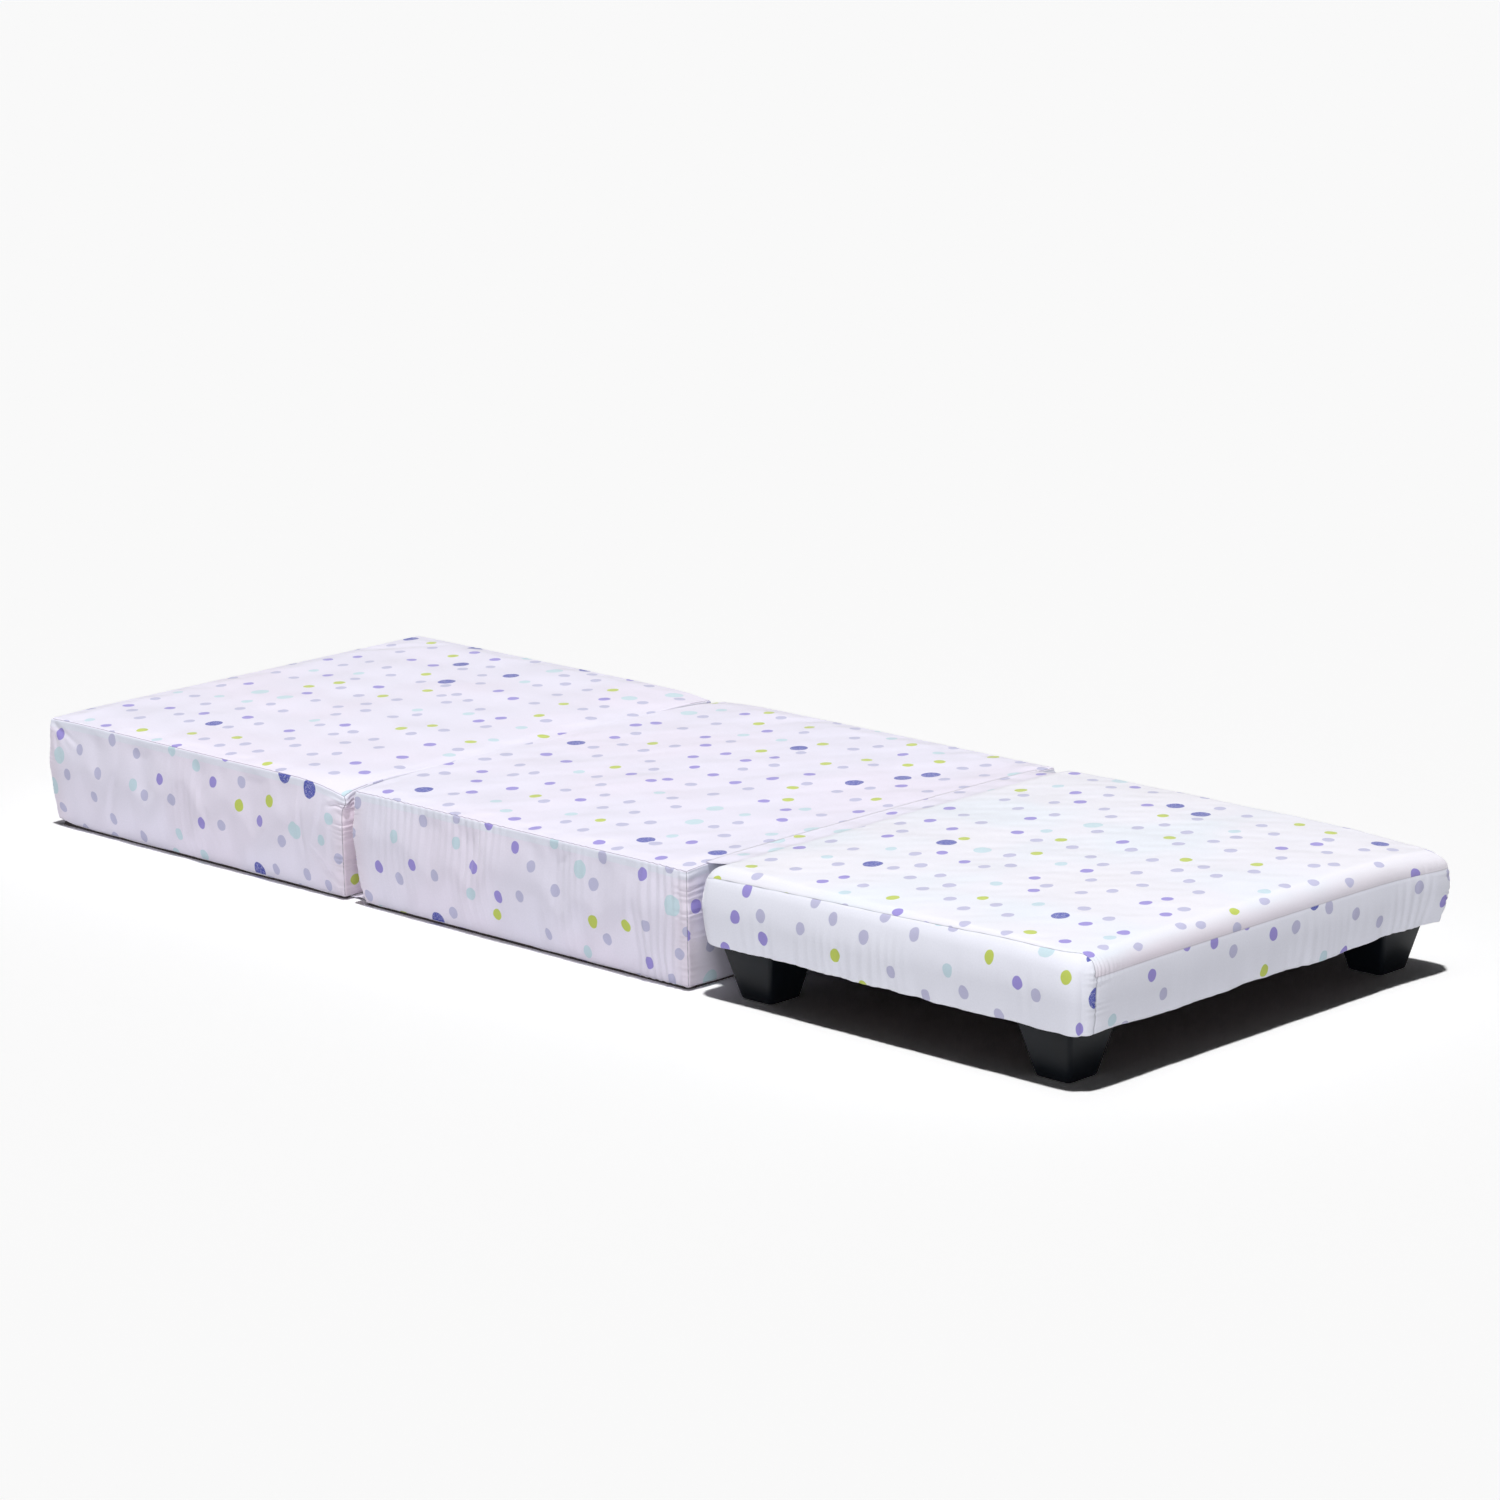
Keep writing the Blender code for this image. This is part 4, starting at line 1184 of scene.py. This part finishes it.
# %% Legs
LEG_EDGE = 6 * MM
LEG_FOOT_HALF = 26.5 * MM
# Shares of the leg's height, and how far the round-overs draw the leg in there, in mm.
LEG_SHARES = (0, 0.006, 0.02, 0.045, 0.25, 0.5, 0.75, 0.97, 1.0)
LEG_INSETS = (2.6, 1.3, 0.35, 0, 0, 0, 0, 0, 0.5)


def black_plastic():
    """Moulded polypropylene: near black, satin, with a faint spark-eroded grain."""
    material, tree, shader = new_material("polypropylene, moulded, black")
    place = object_place(tree)
    set_inputs(
        shader,
        Base_Color=cloudy(tree, place, 18.0, 3.0, "#0C0F13", "#12161C"),
        Roughness=cloudy(tree, place, 18.0, 3.0, 0.34, 0.46),
        Normal=bump(tree, 0.12, 0.05 * MM, noise(tree, place, 1 / (0.9 * MM))),
        IOR=1.49,
        Specular_IOR_Level=0.16,
    )
    return material


BLACK_PLASTIC = black_plastic()


def rounded_square(half, radius, height, middle, steps=7):
    """Points round a square with round corners, anticlockwise from above."""
    turns = np.arange(4)[:, None] * pi / 2 + np.linspace(0, pi / 2, steps)[None, :]
    corner = (np.arange(4)[:, None] * pi / 2 + pi / 4) * np.ones((1, steps))
    reach = (half - radius) * 2**0.5
    x = middle[0] + reach * np.cos(corner) + radius * np.cos(turns)
    y = middle[1] + reach * np.sin(corner) + radius * np.sin(turns)
    return np.stack([x.ravel(), y.ravel(), np.full(x.size, height)], axis=1)


def moulded_leg(node):
    """A leg over a model leg, as wide as it at the top and narrower at the foot."""
    low, high = [np.array(corner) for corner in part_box(node)]
    wider = (high[0] - low[0]) / 2 - LEG_FOOT_HALF
    rings = []
    for share, inset in zip(LEG_SHARES, LEG_INSETS, strict=True):
        half = LEG_FOOT_HALF + wider * share - inset * MM
        level = low[2] + share * (high[2] - low[2])
        rings.append(rounded_square(half, LEG_EDGE, level, (low + high) / 2))
    leg = loft(node.replace("leg_", "moulded_leg_"), rings[::-1], BLACK_PLASTIC)
    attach(leg, "base")
    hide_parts(node)


for node in ("leg_front_hinge", "leg_front_free", "leg_back_hinge", "leg_back_free"):
    moulded_leg(node)

# %% [markdown]
# ## Zip sliders
#
# Each zip has a zinc-plated slider, with a flat pull that lies along the tape. Both are lofted along the
# zip through rings like soft-cornered rectangles.

# %% Zip sliders
# Profiles along a slider, in mm: places, half widths, half thicknesses and heights over its foot.
SLIDER_BODY = (
    (0, 0.6, 4, 8, 11.4, 12),
    (2.6, 3.6, 4.4, 3.2, 2.6, 1.8),
    (0.9, 1.3, 1.5, 1.5, 1.3, 0.9),
    (1.5, 1.5, 1.5, 1.5, 1.5, 1.5),
)
SLIDER_PULL = (
    (8, 8.5, 13, 17, 26, 29.5, 31),
    (1.2, 1.7, 1.9, 2.9, 3.3, 2.6, 1.1),
    (0.4, 0.6, 0.7, 0.7, 0.7, 0.6, 0.4),
    (2.9, 2.9, 2.7, 2.2, 1.6, 1.4, 1.3),
)


def zinc_plate():
    """Zinc-plated steel: pale grey metal, slightly cloudy."""
    material, tree, shader = new_material("steel, zinc-plated")
    place = object_place(tree)
    colour = cloudy(tree, place, 300.0, 2.0, "#BFC1C4", "#D3D4D6")
    gloss = cloudy(tree, place, 300.0, 2.0, 0.28, 0.4)
    set_inputs(shader, Base_Color=colour, Roughness=gloss, Metallic=1.0)
    return material


ZINC_PLATE = zinc_plate()


def slider_ring(x, half_width, half_thickness, lift, low, middle_z, steps=20):
    """One section of a slider: a superellipse cos^0.6, sin^0.6 across its width and thickness."""
    turn = np.arange(steps) * 2 * pi / steps
    wide, thick = [np.sign(way) * np.abs(way) ** 0.6 for way in (np.cos(turn), np.sin(turn))]
    y = low.y + (lift + half_thickness * thick) * MM
    return np.stack([np.full(steps, low.x + x * MM), y, middle_z + half_width * wide * MM], axis=1)


def zip_slider(name, node, body):
    """A cast slider and its pull, two closed forms in one mesh."""
    low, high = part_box(node)
    forms = []
    for part, profile in (("body", SLIDER_BODY), ("pull", SLIDER_PULL)):
        sections = zip(*profile, strict=True)
        rings = [slider_ring(*section, low, (low.z + high.z) / 2) for section in sections]
        forms.append(loft(name + "_" + part, rings, ZINC_PLATE))
    slider = forms[0]
    with bpy.context.temp_override(active_object=slider, selected_editable_objects=forms):
        bpy.ops.object.join()
    slider.name = name
    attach(slider, body)
    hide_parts(node)


zip_slider("head_slider", "head_zip_slider", "head")
zip_slider("middle_slider", "middle_zip_slider", "middle")

# %% [markdown]
# ## Hidden parts and undersides
#
# The timber frame, screws and foam are inside, and the undersides of the cushions are a dark non-slip
# cloth. They keep the shape of the engineering model and only get a finish.


# %% Finishes of the parts that keep their shape
def dark_cloth():
    """Polyester underlining with a rubbery dot grip: charcoal brown, matt. Its dark sliver at a cushion's foot is
    partly its own colour and partly painted shade for the contact shadow there.
    """
    material, tree, shader = new_material("polyester, non-slip, charcoal")
    place = object_place(tree)
    settings = {"distance": "CHEBYCHEV"}
    weave = add(tree, "TexVoronoi", settings, Vector=place, Scale=1 / (3 * MM), Randomness=0.0)
    colour = cloudy(tree, place, 22.0, 3.0, "#2A2224", "#3A3033")
    normal = bump(tree, 0.4, 0.3 * MM, weave.outputs["Distance"])
    set_inputs(shader, Base_Color=colour, Normal=normal, Roughness=0.9)
    return material


def timber(name, light, dark, ring):
    """Softwood: growth rings drawn as stretched noise along the length."""
    material, tree, shader = new_material(name)
    stretched = add(tree, "Mapping", Vector=object_place(tree), Scale=(0.06, 1.0, 1.0)).outputs[0]
    grain = noise(tree, stretched, 1 / ring, 4.0, Distortion=0.6)
    colour = ramp(tree, grain, [(0.35, light), (0.65, dark)])
    set_inputs(shader, Base_Color=colour, Normal=bump(tree, 0.2, 0.2 * MM, grain), Roughness=0.7)
    return material


FINISHES = {
    "dark_cloth": dark_cloth(),
    "pine": timber("pine, planed", "#D9BC8C", "#C49E68", 4 * MM),
    "plywood": timber("birch plywood", "#D8C19B", "#C6A97C", 7 * MM),
    "zinc": ZINC_PLATE,
}
for part in frame["record"]["subparts"]:
    if part["material_slot"] in FINISHES:
        mesh = frame["nodes"][part["node"]].data
        mesh.materials.clear()
        mesh.materials.append(FINISHES[part["material_slot"]])

# %% [markdown]
# ## Studio
#
# The floor and backdrop are white only to the camera: a Light Path node gives the camera a brighter floor
# than the one that lights the bed, and the world shows the same white. Three suns stand for the studio's
# lamps. A small one almost overhead lights the tops and draws the crisp shadow under the base. A wider one
# behind the bed and a very wide one low in front of it fill the tops and the sides. Light linking keeps
# those two off the floor, as flags in a studio would, so that the shadow stays deep.

# %% Studio
WHITE = linear("#F9F9F9")
SKY_STRENGTH = 0.07
FLOOR_SEEN = 1.18
# Each sun: name, strength, width of its disc, azimuth and elevation in degrees, and if it lights the floor.
SUNS = (
    ("overhead", 2.42, 3, 48, 85.5, True),
    ("key", 0.98, 30, 213, 50, False),
    ("fill", 2.02, 80, 31, 5, False),
)


def directly_seen(tree):
    """1 for rays that show a surface: from the camera, in a reflection or through something clear."""
    path = add(tree, "LightPath").outputs
    shown = maths(tree, "MAXIMUM", path["Is Camera Ray"], path["Is Transmission Ray"])
    return maths(tree, "MAXIMUM", shown, path["Is Glossy Ray"])


def studio_floor():
    """A wide floor: one white to the camera, a plainer one to the light that bounces off it."""
    bpy.ops.mesh.primitive_plane_add(size=60, location=(0, 0, 0))
    floor = bpy.context.object
    floor.name = "studio_floor"
    material, tree, shader = new_material("studio floor")
    plain = add(tree, "BsdfDiffuse", Color=linear("#F2F2F4"))
    seen = add(tree, "BsdfDiffuse", Color=(FLOOR_SEEN, FLOOR_SEEN, FLOOR_SEEN, 1))
    mixed = add(tree, "MixShader", i0=directly_seen(tree), i1=plain.outputs[0], i2=seen.outputs[0])
    tree.links.new(mixed.outputs[0], tree.nodes["Material Output"].inputs["Surface"])
    tree.nodes.remove(shader)
    floor.data.materials.append(material)
    return floor


def studio_sun(name, strength, size, azimuth, elevation):
    """A sun with a wide disc that shines from a direction."""
    light = bpy.data.lights.new(name, "SUN")
    light.energy = strength
    light.angle = radians(size)
    sun = bpy.data.objects.new(name, light)
    sun.rotation_euler = direction(azimuth, elevation).to_track_quat("Z", "Y").to_euler()
    bpy.context.scene.collection.objects.link(sun)
    return sun


keep_off = bpy.data.collections.new("kept off by the flags")
keep_off.objects.link(studio_floor())
for *settings, lights_floor in SUNS:
    sun = studio_sun(*settings)
    if not lights_floor:
        sun.light_linking.receiver_collection = keep_off
keep_off.collection_objects[0].light_linking.link_state = "EXCLUDE"

world = bpy.data.worlds.new("studio")
bpy.context.scene.world = world
world.use_nodes = True
tree = world.node_tree
height = add(tree, "SeparateXYZ", i0=add(tree, "TexCoord").outputs["Generated"]).outputs[2]
up = maths(tree, "POWER", maths(tree, "MAXIMUM", height, 0.0), 2.0)
glow = add(tree, "Background", Color=(1, 1, 1, 1), Strength=maths(tree, "MULTIPLY", up, SKY_STRENGTH))
wall = add(tree, "Background", Color=WHITE, Strength=1.0)
both = add(tree, "MixShader", i0=directly_seen(tree), i1=glow.outputs[0], i2=wall.outputs[0])
tree.links.new(both.outputs[0], tree.nodes["World Output"].inputs["Surface"])
